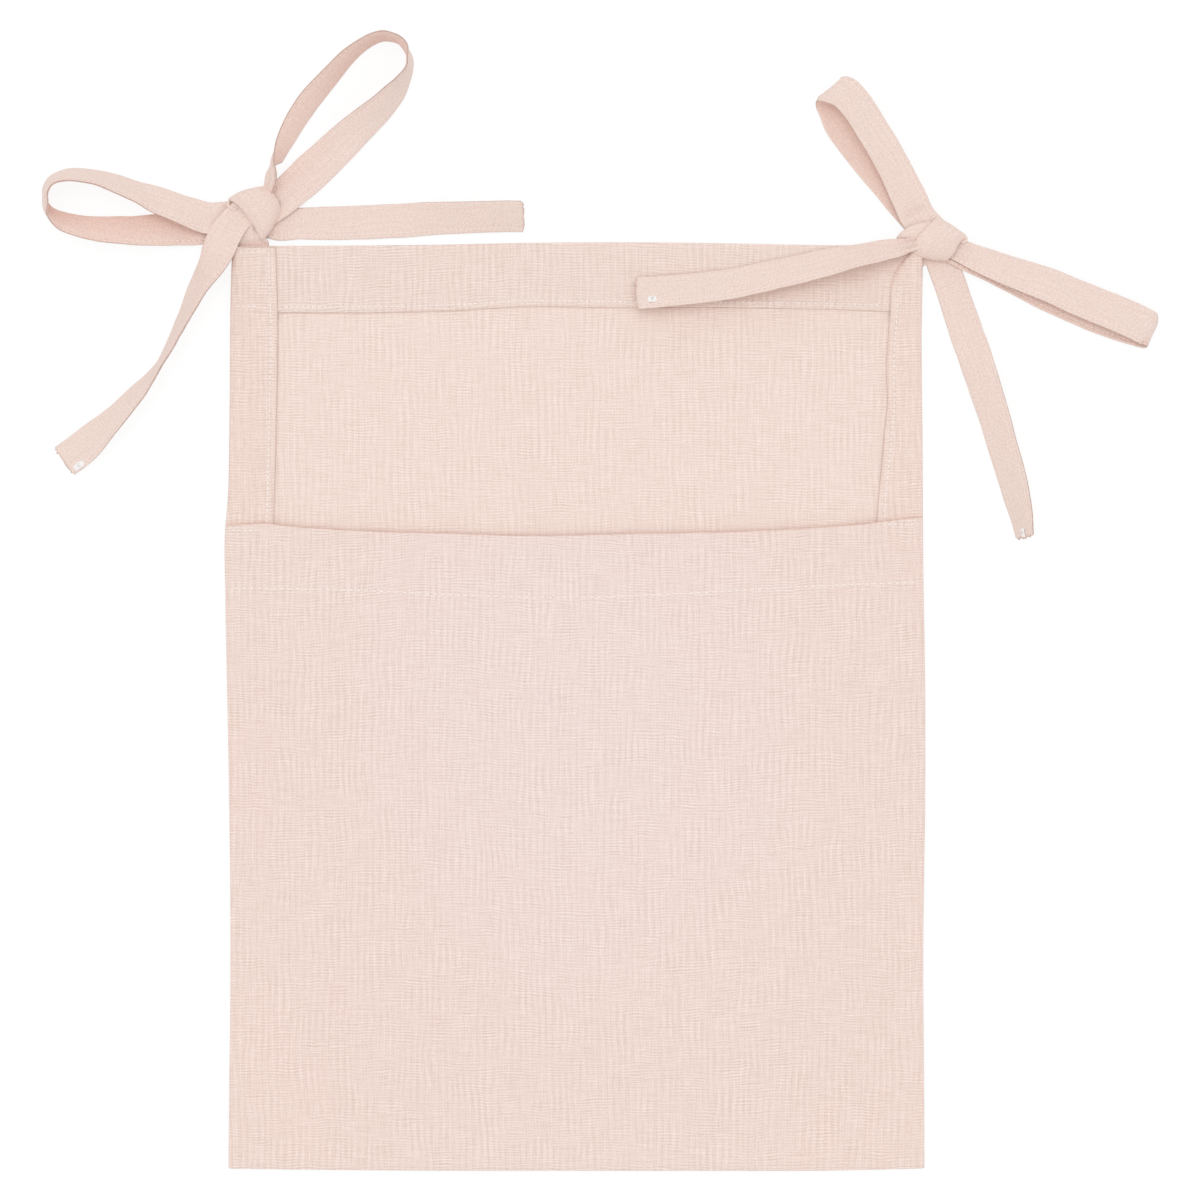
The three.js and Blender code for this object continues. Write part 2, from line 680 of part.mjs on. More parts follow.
const rightTie = new THREE.Group();
rightTie.position.copy(rightKnotPlace);
group.add(rightTie);
const rightCut = cutKnot(rightKnotShape, rightKnotPlace);
const underBand = clearOfKnot(underBandRoute, rightKnotShape, { width: underBandWidth });
addPiece(rightTie, 'right_tie_root', fromManifold(clearOfKnot(rightRootRoute, rightKnotShape)), blushStrap);
addPiece(rightTie, 'right_knot_bundle', fromManifold(rightCut.bundle), blushStrap);
addPiece(rightTie, 'right_knot_band', fromManifold(rightCut.band), blushStrap);
addPiece(rightTie, 'right_knot_under_band', fromManifold(underBand), blushStrap);
addPiece(rightTie, 'right_top_loop', fromManifold(strapSolid(rightTopLoop)), blushStrap);
addPiece(rightTie, 'right_side_loop', fromManifold(strapSolid(rightSideLoop)), blushStrap);
addPiece(rightTie, 'right_long_tail', fromManifold(strapSolid(rightLongTail)), blushStrap);
addPiece(rightTie, 'right_hanging_tail', fromManifold(strapSolid(rightHangingTail)), blushStrap);

export default group;
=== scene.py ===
"""Looks of the hanging crib organizer: woven cloth, hems, stitching and two tied bows.

Lengths here are millimetres in the CAD frame (X right, Y to the top edge, Z up out of the cloth),
and become metres when a mesh is made.
"""
import math
from functools import partial, partialmethod

import bpy
import numpy as np
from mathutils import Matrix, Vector, noise


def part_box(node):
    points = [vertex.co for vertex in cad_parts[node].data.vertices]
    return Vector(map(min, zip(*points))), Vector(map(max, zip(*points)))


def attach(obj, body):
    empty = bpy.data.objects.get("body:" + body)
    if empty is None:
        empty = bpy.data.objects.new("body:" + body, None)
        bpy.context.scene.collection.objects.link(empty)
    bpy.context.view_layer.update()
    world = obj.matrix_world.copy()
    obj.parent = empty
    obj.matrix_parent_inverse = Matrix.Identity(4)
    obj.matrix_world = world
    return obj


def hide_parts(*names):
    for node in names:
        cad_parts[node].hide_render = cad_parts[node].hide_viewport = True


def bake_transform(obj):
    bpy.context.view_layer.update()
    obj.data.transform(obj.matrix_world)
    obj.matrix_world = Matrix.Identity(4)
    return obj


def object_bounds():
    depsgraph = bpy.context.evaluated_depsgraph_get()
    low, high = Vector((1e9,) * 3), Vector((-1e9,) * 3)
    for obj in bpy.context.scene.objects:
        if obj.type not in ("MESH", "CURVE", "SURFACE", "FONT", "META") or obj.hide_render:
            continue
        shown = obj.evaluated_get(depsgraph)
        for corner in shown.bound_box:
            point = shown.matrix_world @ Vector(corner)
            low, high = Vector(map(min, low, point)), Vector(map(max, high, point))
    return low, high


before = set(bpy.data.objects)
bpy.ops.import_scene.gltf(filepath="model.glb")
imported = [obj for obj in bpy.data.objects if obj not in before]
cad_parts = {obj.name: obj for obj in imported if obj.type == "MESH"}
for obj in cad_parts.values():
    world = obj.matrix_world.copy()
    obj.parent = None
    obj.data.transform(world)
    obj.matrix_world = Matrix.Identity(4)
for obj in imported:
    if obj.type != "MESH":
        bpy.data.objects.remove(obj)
cad_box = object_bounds()

MM = 0.001

# The photograph: how much of the table it shows, and the point that it looks straight down on
VIEW_WIDTH = 516.5
VIEW_CENTRE = (10.1, 45.8)
LENS = 150
SENSOR = 36
LOOK_HEIGHT = 3

# Panel, as the CAD has it
PANEL_BOTTOM, PANEL_TOP = (corner[1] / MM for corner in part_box("back_panel"))
PANEL_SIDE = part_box("back_panel")[1][0] / MM
CLOTH = 0.6
LAYER = 0.9
FOLD = LAYER / 2
BACK_LEVEL = CLOTH / 2
HEM_LEVEL = BACK_LEVEL + LAYER
STRIP_CLOTH = 1.0
STRIP_LEVEL = 1.4
HEM_STEP = 4
CORNER_RADIUS = 1.6
ROOT_LENGTH = 14
ROOT_MARGIN = 3
ROOT_RAMP = 14
ROOT_LIFT = 1.5

# Pocket: where its middle is raised, levels of its front, and its cloth laid flat
SIDE_SLOPE, BOTTOM_SLOPE = 60, 90
SEAM_LEVEL = 0.85
FRONT_LEVEL = 2.3
CORNER_LEVEL = 3.05
FRONT_RISE = 4.2
MOUTH_RISE = 0.2
HEM_END_RISE = 20
STRIP_REACH = 22
MOUTH_ROW_END, MOUTH_SEAM_END = 149.6, 150.5
ALLOWANCE_INSET, ALLOWANCE_DEPTH, ALLOWANCE_TOP = 3.2, 10, 46
ALLOWANCE_LEVEL, ALLOWANCE_HALF, ALLOWANCE_GRID = 1.4, 0.42, 2.5

# Straps, which pressing has spread a little wider than their solids, and knots
STRAP_WIDTH = 14.6
STRAP_CLOTH = 1.2
STITCH_INSET = 1.9
LEFT_KNOT = (-138.4, 212.4)
RIGHT_KNOT = (155.6, 201.2)
LEFT_ROOT_X = LEFT_KNOT[0] - 1.5
RIGHT_ROOT_X = RIGHT_KNOT[0] - 14

# Stitching: pitch along a row, the thread's radius, how far in from a fold a row lies, and the
# distance that stands for no row near
HEM_PITCH = 2.4
MOUTH_PITCH = 3.3
THREAD = 0.2
HEM_STITCH_INSET = 2.6
STRIP_STITCH_INSET = 3.0
NO_SEAM = 9.0


# Curves and small helpers
def smooth(t):
    s = np.clip(t, 0, 1)
    return s * s * (3 - 2 * s)


def through(points):
    """A smooth function through (place, value) points given in rising order."""
    places, values = np.array(points, float).T
    slopes = np.gradient(values, places)

    def value(place):
        x = np.clip(place, places[0], places[-1])
        i = np.clip(np.searchsorted(places, x) - 1, 0, len(places) - 2)
        step = places[i + 1] - places[i]
        t = (x - places[i]) / step
        rise = values[i + 1] - values[i]
        bend = slopes[i] * (t - 2 * t**2 + t**3) + slopes[i + 1] * (t**3 - t**2)
        return values[i] + rise * t * t * (3 - 2 * t) + step * bend

    return value


def spaced(stops):
    """Values along (end, step) stretches that follow one another from the first end."""
    values = [stops[0][0]]
    for end, step in stops[1:]:
        count = max(1, math.ceil(abs(end - values[-1]) / step - 1e-6))
        values.extend(np.linspace(values[-1], end, count + 1)[1:])
    return np.array(values)


def ripple(x, y, size, seed):
    """Smooth noise from about -0.5 to 0.5 that changes over the given size."""
    flat = [noise.noise(Vector((a / size, b / size, 7.3 * seed))) for a, b in zip(np.ravel(x), np.ravel(y))]
    return np.array(flat).reshape(np.shape(x))


def bell(distance, reach):
    """1 at no distance, and falling away over about the given reach."""
    return np.exp(-((distance / reach) ** 2))


def puckers(distance, reach, run, rate, sway, drift):
    """Small uneven folds across a stitch row."""
    return bell(distance, reach) * np.sin(run * rate + sway * np.sin(run * drift))


def rounded_edge(distance, radius, share=0.3):
    """Share of the full thickness at a distance from a rounded edge."""
    t = np.clip(distance / radius, 0, 1)
    return share + (1 - share) * np.sqrt(1 - (1 - t) ** 2)


def edge_turn(distance, reach):
    """1 at an edge, falling to 0 at the given reach from it."""
    return (1 - np.clip(distance / reach, 0, 1)) ** 2


def unit(vectors):
    return vectors / np.linalg.norm(vectors, axis=-1, keepdims=True)


def square_to(vector, along):
    """The unit vector nearest to a vector that is square to a unit direction."""
    return unit(vector - along * np.dot(vector, along))


def in_plan(heading):
    return np.array([math.cos(math.radians(heading)), math.sin(math.radians(heading))])


def run_along(points):
    """Distance of each point of a line from its first, along the line."""
    return np.concatenate([[0], np.cumsum(np.linalg.norm(np.diff(points, axis=0), axis=1))])


def at_run(place, run, points):
    """The point of a line at a place along its run, or the points at several places."""
    return np.stack([np.interp(place, run, column) for column in np.transpose(points)], axis=-1)


def grid_of(strips):
    """A grid of values from strips, each of which has its columns of values in one tuple."""
    return np.stack([np.stack(np.broadcast_arrays(*strip), axis=-1)[0] for strip in strips])


def grid_normals(points):
    """Unit normals of a grid of points, pointing along rows crossed with columns."""
    normals = np.cross(np.gradient(points, axis=1), np.gradient(points, axis=0))
    return normals / np.maximum(np.linalg.norm(normals, axis=-1, keepdims=True), 1e-9)


def normals_up_at(middle, row, column):
    """Normals of a grid, turned so that the one at the given place points up."""
    normals = grid_normals(middle)
    return -normals if normals[row, column, 2] < 0 else normals


def seam_field(places, rows):
    """Distance to the nearest stitch row and the count of stitches along it, for plan places."""
    best = np.full(places.shape[:-1], NO_SEAM)
    phase = np.zeros(best.shape)
    for row, pitch in rows:
        run = 0.0
        for a, b in zip(row[:-1], row[1:]):
            leg = b - a
            length = np.linalg.norm(leg)
            t = np.clip((places - a) @ leg / length**2, 0, 1)
            distance = np.linalg.norm(places - a - t[..., None] * leg, axis=-1)
            nearer = distance < best
            best[nearer] = distance[nearer]
            phase[nearer] = (run + t[nearer] * length) / pitch
            run += length
    return np.stack([best, phase], axis=-1)


# Outlines of the cloth through (place along the edge, where the edge lies there)
left_edge = through([
    (-200, -149.9), (-169, -149.6), (-105, -149), (-40, -149.6), (3, -150.4), (46, -151.2),
    (76, -151.3), (89, -150.2), (120, -149.5), (175, -148.9), (190, -148.4), (200, -147.8)])
right_edge = through([
    (-200, 149.8), (-169, 149.7), (-105, 149.3), (-40, 150.1), (20, 150), (60, 149.3),
    (110, 149), (158, 148.6), (200, 149.1)])
top_edge = through([
    (-150, 197.9), (-100, 198.2), (-54, 198.7), (-20, 199.4), (32, 199.6), (70, 199.1),
    (110, 198.4), (150, 198.6)])
bottom_edge = through([(-150, -199.1), (-100, -199.7), (40, -200), (110, -199.9), (150, -199)])
hem_edge = through([
    (-150, 169.6), (-76, 169.7), (-48, 170.6), (-25, 172), (-8, 172.1), (5, 171.8), (75, 171.6),
    (111, 170.9), (150, 169.4)])
mouth_edge = through([
    (-152, 77.8), (-141, 78.3), (-133, 78.7), (-126, 77.8), (-118, 77.1), (-96, 75.7), (-54, 74.3),
    (-16, 73.3), (14, 74), (42, 74.5), (78, 75.4), (100, 76.6), (118, 77.9), (128, 78.8),
    (134, 79.7), (152, 81.6)])
mouth_stitches = through([
    (-152, 51), (-99.6, 50.1), (-43.7, 47.7), (-7.1, 46.8), (42.4, 48.4), (104.8, 51.9), (152, 53.6)])
left_strip_inner = through([
    (60, -130.8), (80, -130.4), (100, -129.9), (125, -129.3), (145, -128.9), (165, -128.7),
    (200, -129.6)])
right_strip_inner = through([
    (60, 129), (81, 129.5), (103, 131.4), (118, 132.7), (129, 133.9), (146, 133.6), (168, 134.9),
    (178, 135.4), (186, 136.7), (191, 139.9), (194.5, 143), (199, 145.5)])
# Outer and inner edge of the cloth at the left side and at the right one
SIDE_LINES = {-1: (left_edge, left_strip_inner), 1: (right_edge, right_strip_inner)}


# Node trees
class Value:
    """An output of a node; sums and products of values make the nodes that work them out."""

    def __init__(self, socket):
        self.socket = socket
        self.tree = socket.id_data

    def calc(self, operation, other=0.0):
        return add_node(self.tree, "ShaderNodeMath", {0: self, 1: other}, operation=operation)

    __add__ = partialmethod(calc, "ADD")
    __sub__ = partialmethod(calc, "SUBTRACT")
    __mul__ = partialmethod(calc, "MULTIPLY")
    __pow__ = partialmethod(calc, "POWER")

    def all_outputs(self):
        return {socket.name: Value(socket) for socket in self.socket.node.outputs}


def add_node(tree, kind, inputs=(), output=0, **settings):
    """A new node with values or other nodes' outputs on its inputs, as one of its own outputs."""
    node = tree.nodes.new(kind)
    for name, value in settings.items():
        setattr(node, name, value)
    for key, value in dict(inputs).items():
        if isinstance(value, Value):
            tree.links.new(value.socket, node.inputs[key])
        else:
            node.inputs[key].default_value = value
    return Value(node.outputs[output])


def empty_tree(owner):
    owner.use_nodes = True
    owner.node_tree.nodes.clear()
    return owner.node_tree


def end_tree(shader, kind="ShaderNodeOutputMaterial"):
    output = shader.tree.nodes.new(kind)
    shader.tree.links.new(shader.socket, output.inputs["Surface"])


def attribute(tree, name):
    return add_node(tree, "ShaderNodeAttribute", output="Vector", attribute_name=name)


def xyz(vector):
    return list(add_node(vector.tree, "ShaderNodeSeparateXYZ", {0: vector}).all_outputs().values())


def srgb(red, green, blue):
    def linear(value):
        c = value / 255
        return c / 12.92 if c <= 0.04045 else ((c + 0.055) / 1.055) ** 2.4

    return (linear(red), linear(green), linear(blue), 1)


def grey(level):
    return (level, level, level, 1)


def mixed(tree, factor, low, high, blend="MIX"):
    return add_node(tree, "ShaderNodeMix", {0: factor, 6: low, 7: high}, output=2,
                    data_type="RGBA", blend_type=blend)


def noise_at(place, scale=1.0, detail=2.0, roughness=0.5):
    return add_node(place.tree, "ShaderNodeTexNoise", {
        "Vector": place, "Scale": scale, "Detail": detail, "Roughness": roughness,
    }, output="Fac")


def stretched(place, scale=(1, 1, 1), offset=0.0):
    return add_node(place.tree, "ShaderNodeMapping", {
        "Vector": place, "Location": (offset, offset, offset), "Scale": scale,
    }, output="Vector")


def wave(run, pitch, drift):
    """A sine over a run in millimetres, with its phase moved by a drift in radians."""
    return (run * (2 * math.pi / pitch) + drift).calc("SINE")


def swell(place, size, offset):
    """A strength from about 0.3 to 1.7 that changes over patches of the given size in millimetres."""
    patch = noise_at(stretched(place, offset=offset), 1 / size, detail=1.0)
    return (patch - 0.5) * 4.5 + 1.0


def falling(value, rate):
    """1 where the value is 0, and falling away with its square."""
    return (value ** 2.0 * -rate).calc("EXPONENT")


def relief(strength, depth, height):
    return add_node(height.tree, "ShaderNodeBump", {
        "Strength": strength, "Distance": depth * MM, "Height": height,
    })


# Materials
# Weave: weft lines at an even pitch, uneven columns of thicker warp, and a fine grain over both
WEFT_PITCH, WEFT_WEIGHT = 1.23, 0.165
COLUMN_PITCH, COLUMN_WEIGHT = 2.9, 0.085
WARP_PITCH, WARP_WEIGHT = 1.3, 0.05
SLUB_WEIGHT = 0.6
GRAIN_WEIGHT = 0.95
STREAK_WEIGHT = 0.04
# Colours that the cloth leans to in its dark and pale threads, and how far
DARK_THREAD, DARK_LEAN = srgb(172, 150, 142), 0.32
PALE_THREAD, PALE_LEAN = srgb(255, 238, 231), 0.75
# Light inside a loop has been off the pink cloth, so it is warmer, and where the loop stands up some
# comes through the cloth
INSIDE_LOOP = (1.0, 0.935, 0.91, 1)
THROUGH_CLOTH = (1.07, 1.08, 1.09, 1)
# Painted shade: edges and turned folds are painted browner, for the thin shadow along them
PAINTED_EDGE_SHADE = (0.89, 0.79, 0.75, 1)
# How far the greyer middle of the pocket reaches, across and up
COOL_REACH = (105, 130)


def standing(inner):
    """From 0 where the cloth lies flat to 1 on the inner face of a loop where it stands up."""
    normal = add_node(inner.tree, "ShaderNodeNewGeometry", output="True Normal")
    flat = xyz(normal)[2].calc("ABSOLUTE")
    return ((flat * -1 + 1) * 3.5).calc("MINIMUM", 1.0) * inner


def cloth_material(name, pink, beige, seed=0.0, lines=1.0, cool=None, single=None):
    """Woven cloth: lines is how clear its threads are, cool the colour of its middle, and single
    its colour below the panel's top edge, where it is one layer and the table shows through."""
    material = bpy.data.materials.new(name)
    tree = empty_tree(material)
    weave = attribute(tree, "weave")
    _, height_up, inner = xyz(weave)
    # The seam attribute's third value marks where edges and folds get painted shade
    distance, phase, edge_shade = xyz(attribute(tree, "seam"))
    place = stretched(weave, offset=seed)

    # Threads wander a little, so the lines are never quite straight
    wander = noise_at(place, 0.09)
    across, along, _ = xyz(place)
    u = wander * 1.6 + across
    v = wander * 2.4 + along
    column_drift = noise_at(stretched(place, (0.08, 0.03, 1), 3.1)) * 11
    thread_drift = noise_at(stretched(place, (0.06, 0.3, 1), 5.3)) * 6
    weft = wave(v, WEFT_PITCH, thread_drift) * swell(place, 9, 1.7)
    columns = wave(u, COLUMN_PITCH, column_drift) * swell(place, 12, 6.1)
    warp = wave(u, WARP_PITCH, column_drift) * swell(place, 8, 8.9)
    slubs = noise_at(stretched(place, (0.09, 1.3, 1)), detail=1.5) - 0.5
    uprights = noise_at(stretched(place, (1.0, 0.09, 1), 3.1), detail=1.5) - 0.5
    grain = noise_at(place, 1.3, roughness=0.7) - 0.5
    streaks = noise_at(stretched(place, (0.10, 0.035, 1), 9.7), detail=3.0, roughness=0.6) - 0.5
    patches = noise_at(place, 0.011) - 0.5

    # Lightness around the middle value of a half
    light = columns * (COLUMN_WEIGHT * lines) + weft * (WEFT_WEIGHT * lines) + 0.5
    light = light + warp * (WARP_WEIGHT * lines) + slubs * (SLUB_WEIGHT * lines)
    light = light + uprights * (0.25 + 0.2 * lines) + grain * (GRAIN_WEIGHT * (1.75 - 0.75 * lines))
    light = light + streaks * STREAK_WEIGHT

    # Stitch rows press a groove into the cloth, and between two stitches the shade in a needle hole is
    # painted darker
    groove = falling(distance, 2.2)
    needle_hole_shade = groove * falling(phase.calc("FRACT") - 0.5, 60.0)
    shade = light + needle_hole_shade * -0.3 + groove * 0.12

    cloth = mixed(tree, patches * 1.6 + streaks * 0.8 + 0.5, pink, beige)
    if cool:
        flat = stretched(weave, (1 / COOL_REACH[0], 1 / COOL_REACH[1], 0))
        from_middle = add_node(tree, "ShaderNodeVectorMath", {0: flat}, output="Value",
                               operation="LENGTH")
        cloth = mixed(tree, falling(from_middle, 1.0), cloth, cool)
    if single:
        cloth = mixed(tree, height_up.calc("LESS_THAN", PANEL_TOP), cloth, single)
    dark = mixed(tree, DARK_LEAN, cloth, DARK_THREAD)
    pale = mixed(tree, PALE_LEAN, cloth, PALE_THREAD)
    colour = mixed(tree, shade, dark, pale)
    # Painted light and shade: warmer inside a loop, lighter where it stands up, and browner along edges and
    # folds
    for factor, tint in ((inner, INSIDE_LOOP), (standing(inner), THROUGH_CLOTH), (edge_shade ** 1.5, PAINTED_EDGE_SHADE)):
        colour = mixed(tree, factor, colour, tint, "MULTIPLY")

    height = (columns * 0.5 + weft) * 0.2 + slubs * 0.6 + uprights * 0.5 + groove * -0.25
    end_tree(add_node(tree, "ShaderNodeBsdfPrincipled", {
        "Base Color": colour, "Roughness": 0.92, "Specular IOR Level": 0.2, "Sheen Weight": 0.12,
        "Sheen Roughness": 0.55, "Normal": relief(0.35, 0.12, height),
    }))
    return material


def thread_material(name, colour, shadow):
    """Twisted sewing thread: the weave attribute runs along the stitch."""
    material = bpy.data.materials.new(name)
    tree = empty_tree(material)
    place = attribute(tree, "weave")
    around, along, _ = xyz(place)
    twist = (around * 2.0 + along * 9.0).calc("SINE") * 0.2 + 0.72
    tone = (noise_at(place, 3.0) - 0.5) * 0.5 + twist
    end_tree(add_node(tree, "ShaderNodeBsdfPrincipled", {
        "Base Color": mixed(tree, tone, shadow, colour), "Roughness": 0.7,
        "Specular IOR Level": 0.3, "Sheen Weight": 0.1, "Normal": relief(0.5, 0.05, twist),
    }))
    return material


panel_cloth = cloth_material("panel_cloth", srgb(245, 218, 205), srgb(242, 221, 208), seed=3.0,
                             single=srgb(250, 226, 213))
strip_cloth = cloth_material("strip_cloth", srgb(246, 215, 201), srgb(243, 218, 204), seed=41.0)
pocket_cloth = cloth_material("pocket_cloth", srgb(246, 217, 204), srgb(243, 220, 207), seed=87.0,
                              cool=srgb(245, 224, 218))
tie_cloth = cloth_material("tie_cloth", srgb(245, 216, 203), srgb(242, 220, 207), seed=133.0, lines=0.2)
blush_thread = thread_material("blush_thread", srgb(255, 247, 242), srgb(238, 219, 210))
tie_thread = thread_material("tie_thread", srgb(253, 234, 226), srgb(240, 216, 205))
white_thread = thread_material("white_thread", srgb(255, 253, 252), srgb(236, 226, 222))


# Meshes
def link_object(name, data):
    piece = bpy.data.objects.new(name, data)
    bpy.context.collection.objects.link(piece)
    return piece


def link_mesh(name, vertices, faces, material):
    mesh = bpy.data.meshes.new(name)
    mesh.from_pydata([tuple(p) for p in np.asarray(vertices) * MM], [], faces)
    mesh.materials.append(material)
    return link_object(name, mesh)


def add_object(name, vertices, faces, material, attributes, sharp_faces=()):
    """A smooth mesh in which only the edges of the sharp faces are sharp."""
    piece = link_mesh(name, vertices, faces, material)
    mesh = piece.data
    mesh.shade_smooth()
    for attribute_name, values in attributes.items():
        layer = mesh.attributes.new(attribute_name, "FLOAT_VECTOR", "POINT")
        layer.data.foreach_set("vector", np.asarray(values, np.float32).ravel())
    if sharp_faces:
        sharp_edges = {frozenset(edge) for face in sharp_faces for edge in zip(face, (*face[1:], face[0]))}
        for edge in mesh.edges:
            edge.use_edge_sharp = frozenset(edge.vertices) in sharp_edges
    return piece


def add_lump(name, vertices, faces, weave):
    """A piece of tie cloth with no stitches on it."""
    seam = np.tile([NO_SEAM, 0.0, 0.0], (len(vertices), 1))
    return add_object(name, vertices, faces, tie_cloth, {"weave": weave, "seam": seam})


def on_panel(piece, slot, *replaced):
    """A piece that rides on the panel, with the CAD's nodes that it stands for."""
    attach(piece, "panel")
    if replaced:
        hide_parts(*replaced)
    return piece


def flipped(faces):
    return [tuple(reversed(face)) for face in faces]


def cloth_mesh(name, middle, half, weave, material, seam=None, normals=None, cut_square=False, inner=0.0,
               shaded_rows=()):
    """A closed sheet of cloth: a grid of middle points with half its thickness to each side.

    cut_square is for the last column, inner is 1 where the second face is the inside of a standing
    loop, and the rows given last, those of a turned edge, get painted shade as the sheet's edges do.
    """
    rows, columns = middle.shape[:2]
    faces_up = grid_normals(middle) if normals is None else normals
    out = faces_up * half[..., None]
    vertices = np.concatenate([(middle + out).reshape(-1, 3), (middle - out).reshape(-1, 3)])
    count = rows * columns
    index = np.arange(count).reshape(rows, columns)
    quads = np.stack([index[:-1, :-1], index[:-1, 1:], index[1:, 1:], index[1:, :-1]], axis=-1).reshape(-1, 4)
    faces = quads.tolist() + (quads[:, ::-1] + count).tolist()
    for line in (index[0, ::-1], index[-1], index[:, 0], index[::-1, -1]):
        rim_faces = [(int(a), int(a) + count, int(b) + count, int(b)) for a, b in zip(line[:-1], line[1:])]
        faces.extend(rim_faces)
    # Painted shade: the sheet's edge rows and columns, and turned-edge rows, are marked to be painted browner
    edge_shade = np.zeros((rows, columns, 1))
    edge_shade[[0, -1, *shaded_rows]] = 1
    edge_shade[:, 0 if cut_square else [0, -1]] = 1
    centre = (rows // 2, columns // 2)
    if np.dot(grid_normals(middle)[centre], faces_up[centre]) < 0:
        faces = flipped(faces)
    if seam is None:
        seam = np.zeros((rows, columns, 2)) + (NO_SEAM, 0)
    weave_values = np.tile(weave.reshape(-1, 2), (2, 1))
    attributes = {
        "weave": np.column_stack([weave_values, np.repeat([0.0, inner], count)]),
        "seam": np.tile(np.concatenate([seam, edge_shade], axis=-1).reshape(-1, 3), (2, 1)),
    }
    return add_object(name, vertices, faces, material, attributes, rim_faces if cut_square else ())


def tube_faces(first, rings, sides):
    """Faces of a closed tube, from the index of the first point of its first ring."""
    faces = []
    for i in range(rings - 1):
        for k in range(sides):
            a = first + i * sides + k
            b = first + i * sides + (k + 1) % sides
            faces.append((a, b, b + sides, a + sides))
    last = first + (rings - 1) * sides
    return [*faces, tuple(range(first, first + sides))[::-1], tuple(range(last, last + sides))]


# A stitch's rings: place along it as a share of its length, rise and size in radii. Its thread is
# spread along the cloth and pressed flat.
STITCH_RINGS = [(-0.5, -1.1, 0.5), (-0.42, -0.1, 0.9), (-0.15, 0.55, 1.0), (0.15, 0.55, 1.0),
                (0.42, -0.1, 0.9), (0.5, -1.1, 0.5)]
STITCH_SIDES = 6
SPREAD, PRESSED = 1.9, 0.75
LEAN = 0.12
TACK_SPACING, TACK_RISE, TACK_THREAD = 0.42, 0.15, 0.3


class Stitching:
    """One mesh of stitches, each a short arched length of thread that dips in at its ends."""

    def __init__(self):
        self.vertices, self.faces, self.weave = [], [], []

    def stitch(self, centre, along, up, length, radius):
        side = np.cross(up, along)
        first = len(self.vertices)
        for place, rise, fullness in STITCH_RINGS:
            ring_centre = centre + along * place * length + up * rise * radius
            for k in range(STITCH_SIDES):
                angle = 2 * math.pi * k / STITCH_SIDES
                spoke = side * math.cos(angle) * SPREAD + up * math.sin(angle) * PRESSED
                self.vertices.append(ring_centre + spoke * radius * fullness)
                self.weave.append((angle, place * length + first * 0.37, 0))
        self.faces.extend(tube_faces(first, len(STITCH_RINGS), STITCH_SIDES))

    def row(self, points, ups, pitch=HEM_PITCH, fill=0.7, radius=THREAD):
        """Stitches at an even pitch along a line of points."""
        run = run_along(points)
        for n in range(1, int(run[-1] / pitch)):
            middle = n * pitch
            along = unit(at_run(middle + 0.4, run, points) - at_run(middle - 0.4, run, points))
            up = square_to(at_run(middle, run, ups), along)
            lean = LEAN * noise.noise(Vector((n * 0.71, run[-1], 0.5)))
            along = along * math.cos(lean) + np.cross(up, along) * math.sin(lean)
            self.stitch(at_run(middle, run, points), along, up, pitch * fill, radius)

    def tack(self, centre, along, up, size, turns=5):
        """A small lump of thread, wound back and forth."""
        side = np.cross(up, along)
        for k in range(turns):
            shift = (k - (turns - 1) / 2) * TACK_SPACING
            wobble = 0.35 * noise.noise(Vector((k * 1.7, centre[0], centre[1])))
            place = centre + side * shift + along * wobble + up * TACK_RISE
            self.stitch(place, along, up, size * (1 - 0.12 * abs(shift)), TACK_THREAD)

    def finish(self, name, material):
        return add_object(name, self.vertices, self.faces, material, {"weave": self.weave})


# Panel: the back cloth with its folded top hem, and the two side strips
def root_lift(x, y):
    """The cloth rides over the sewn roots of the ties behind the top edge."""
    lift = np.zeros(np.shape(x))
    for middle in (LEFT_ROOT_X, RIGHT_ROOT_X):
        beside = np.maximum(np.abs(x - middle) - STRAP_WIDTH / 2 - ROOT_MARGIN, 0)
        below = np.maximum(PANEL_TOP - ROOT_LENGTH - y, 0)
        lift = np.maximum(lift, smooth(1 - np.hypot(beside, below) / ROOT_RAMP))
    return ROOT_LIFT * lift


def from_side(x, y):
    return np.minimum(x - left_edge(y), right_edge(y) - x)


def between_sides(share, y):
    left, right = left_edge(y), right_edge(y)
    return left + (right - left) * share


def round_corners(x, y):
    """The two bottom corners are rounded off."""
    side = np.sign(x)
    inward = CORNER_RADIUS - np.where(side < 0, x - left_edge(y), right_edge(y) - x)
    upward = CORNER_RADIUS - (y - bottom_edge(x))
    reach = np.hypot(inward, upward)
    beyond = (inward > 0) & (upward > 0) & (reach > CORNER_RADIUS)
    moved = np.where(beyond, CORNER_RADIUS / np.maximum(reach, 1e-6), 1) - 1
    return x + side * inward * moved, y - upward * moved


def plan_row(share, y_nominal):
    """Plan places across the panel at a nominal height, from the left edge to the right one."""
    nominal_x = -PANEL_SIDE + 2 * PANEL_SIDE * share
    low, high = bottom_edge(nominal_x), top_edge(nominal_x)
    y = low + (high - low) * (y_nominal - PANEL_BOTTOM) / (PANEL_TOP - PANEL_BOTTOM)
    return between_sides(share, y), y


def hem_row_place(x):
    return hem_edge(x) + HEM_STITCH_INSET


def strip_row_place(side, y):
    return SIDE_LINES[side][1](y) + side * STRIP_STITCH_INSET


ROW_STEP = 6.0


def line_points(function, start, end, upright=False):
    run = np.linspace(start, end, max(2, int(abs(end - start) / ROW_STEP) + 1))
    pair = (function(run), run) if upright else (run, function(run))
    return np.stack(pair, axis=-1)


def level_row(start, end, y):
    return line_points(partial(np.full_like, fill_value=y), start, end)


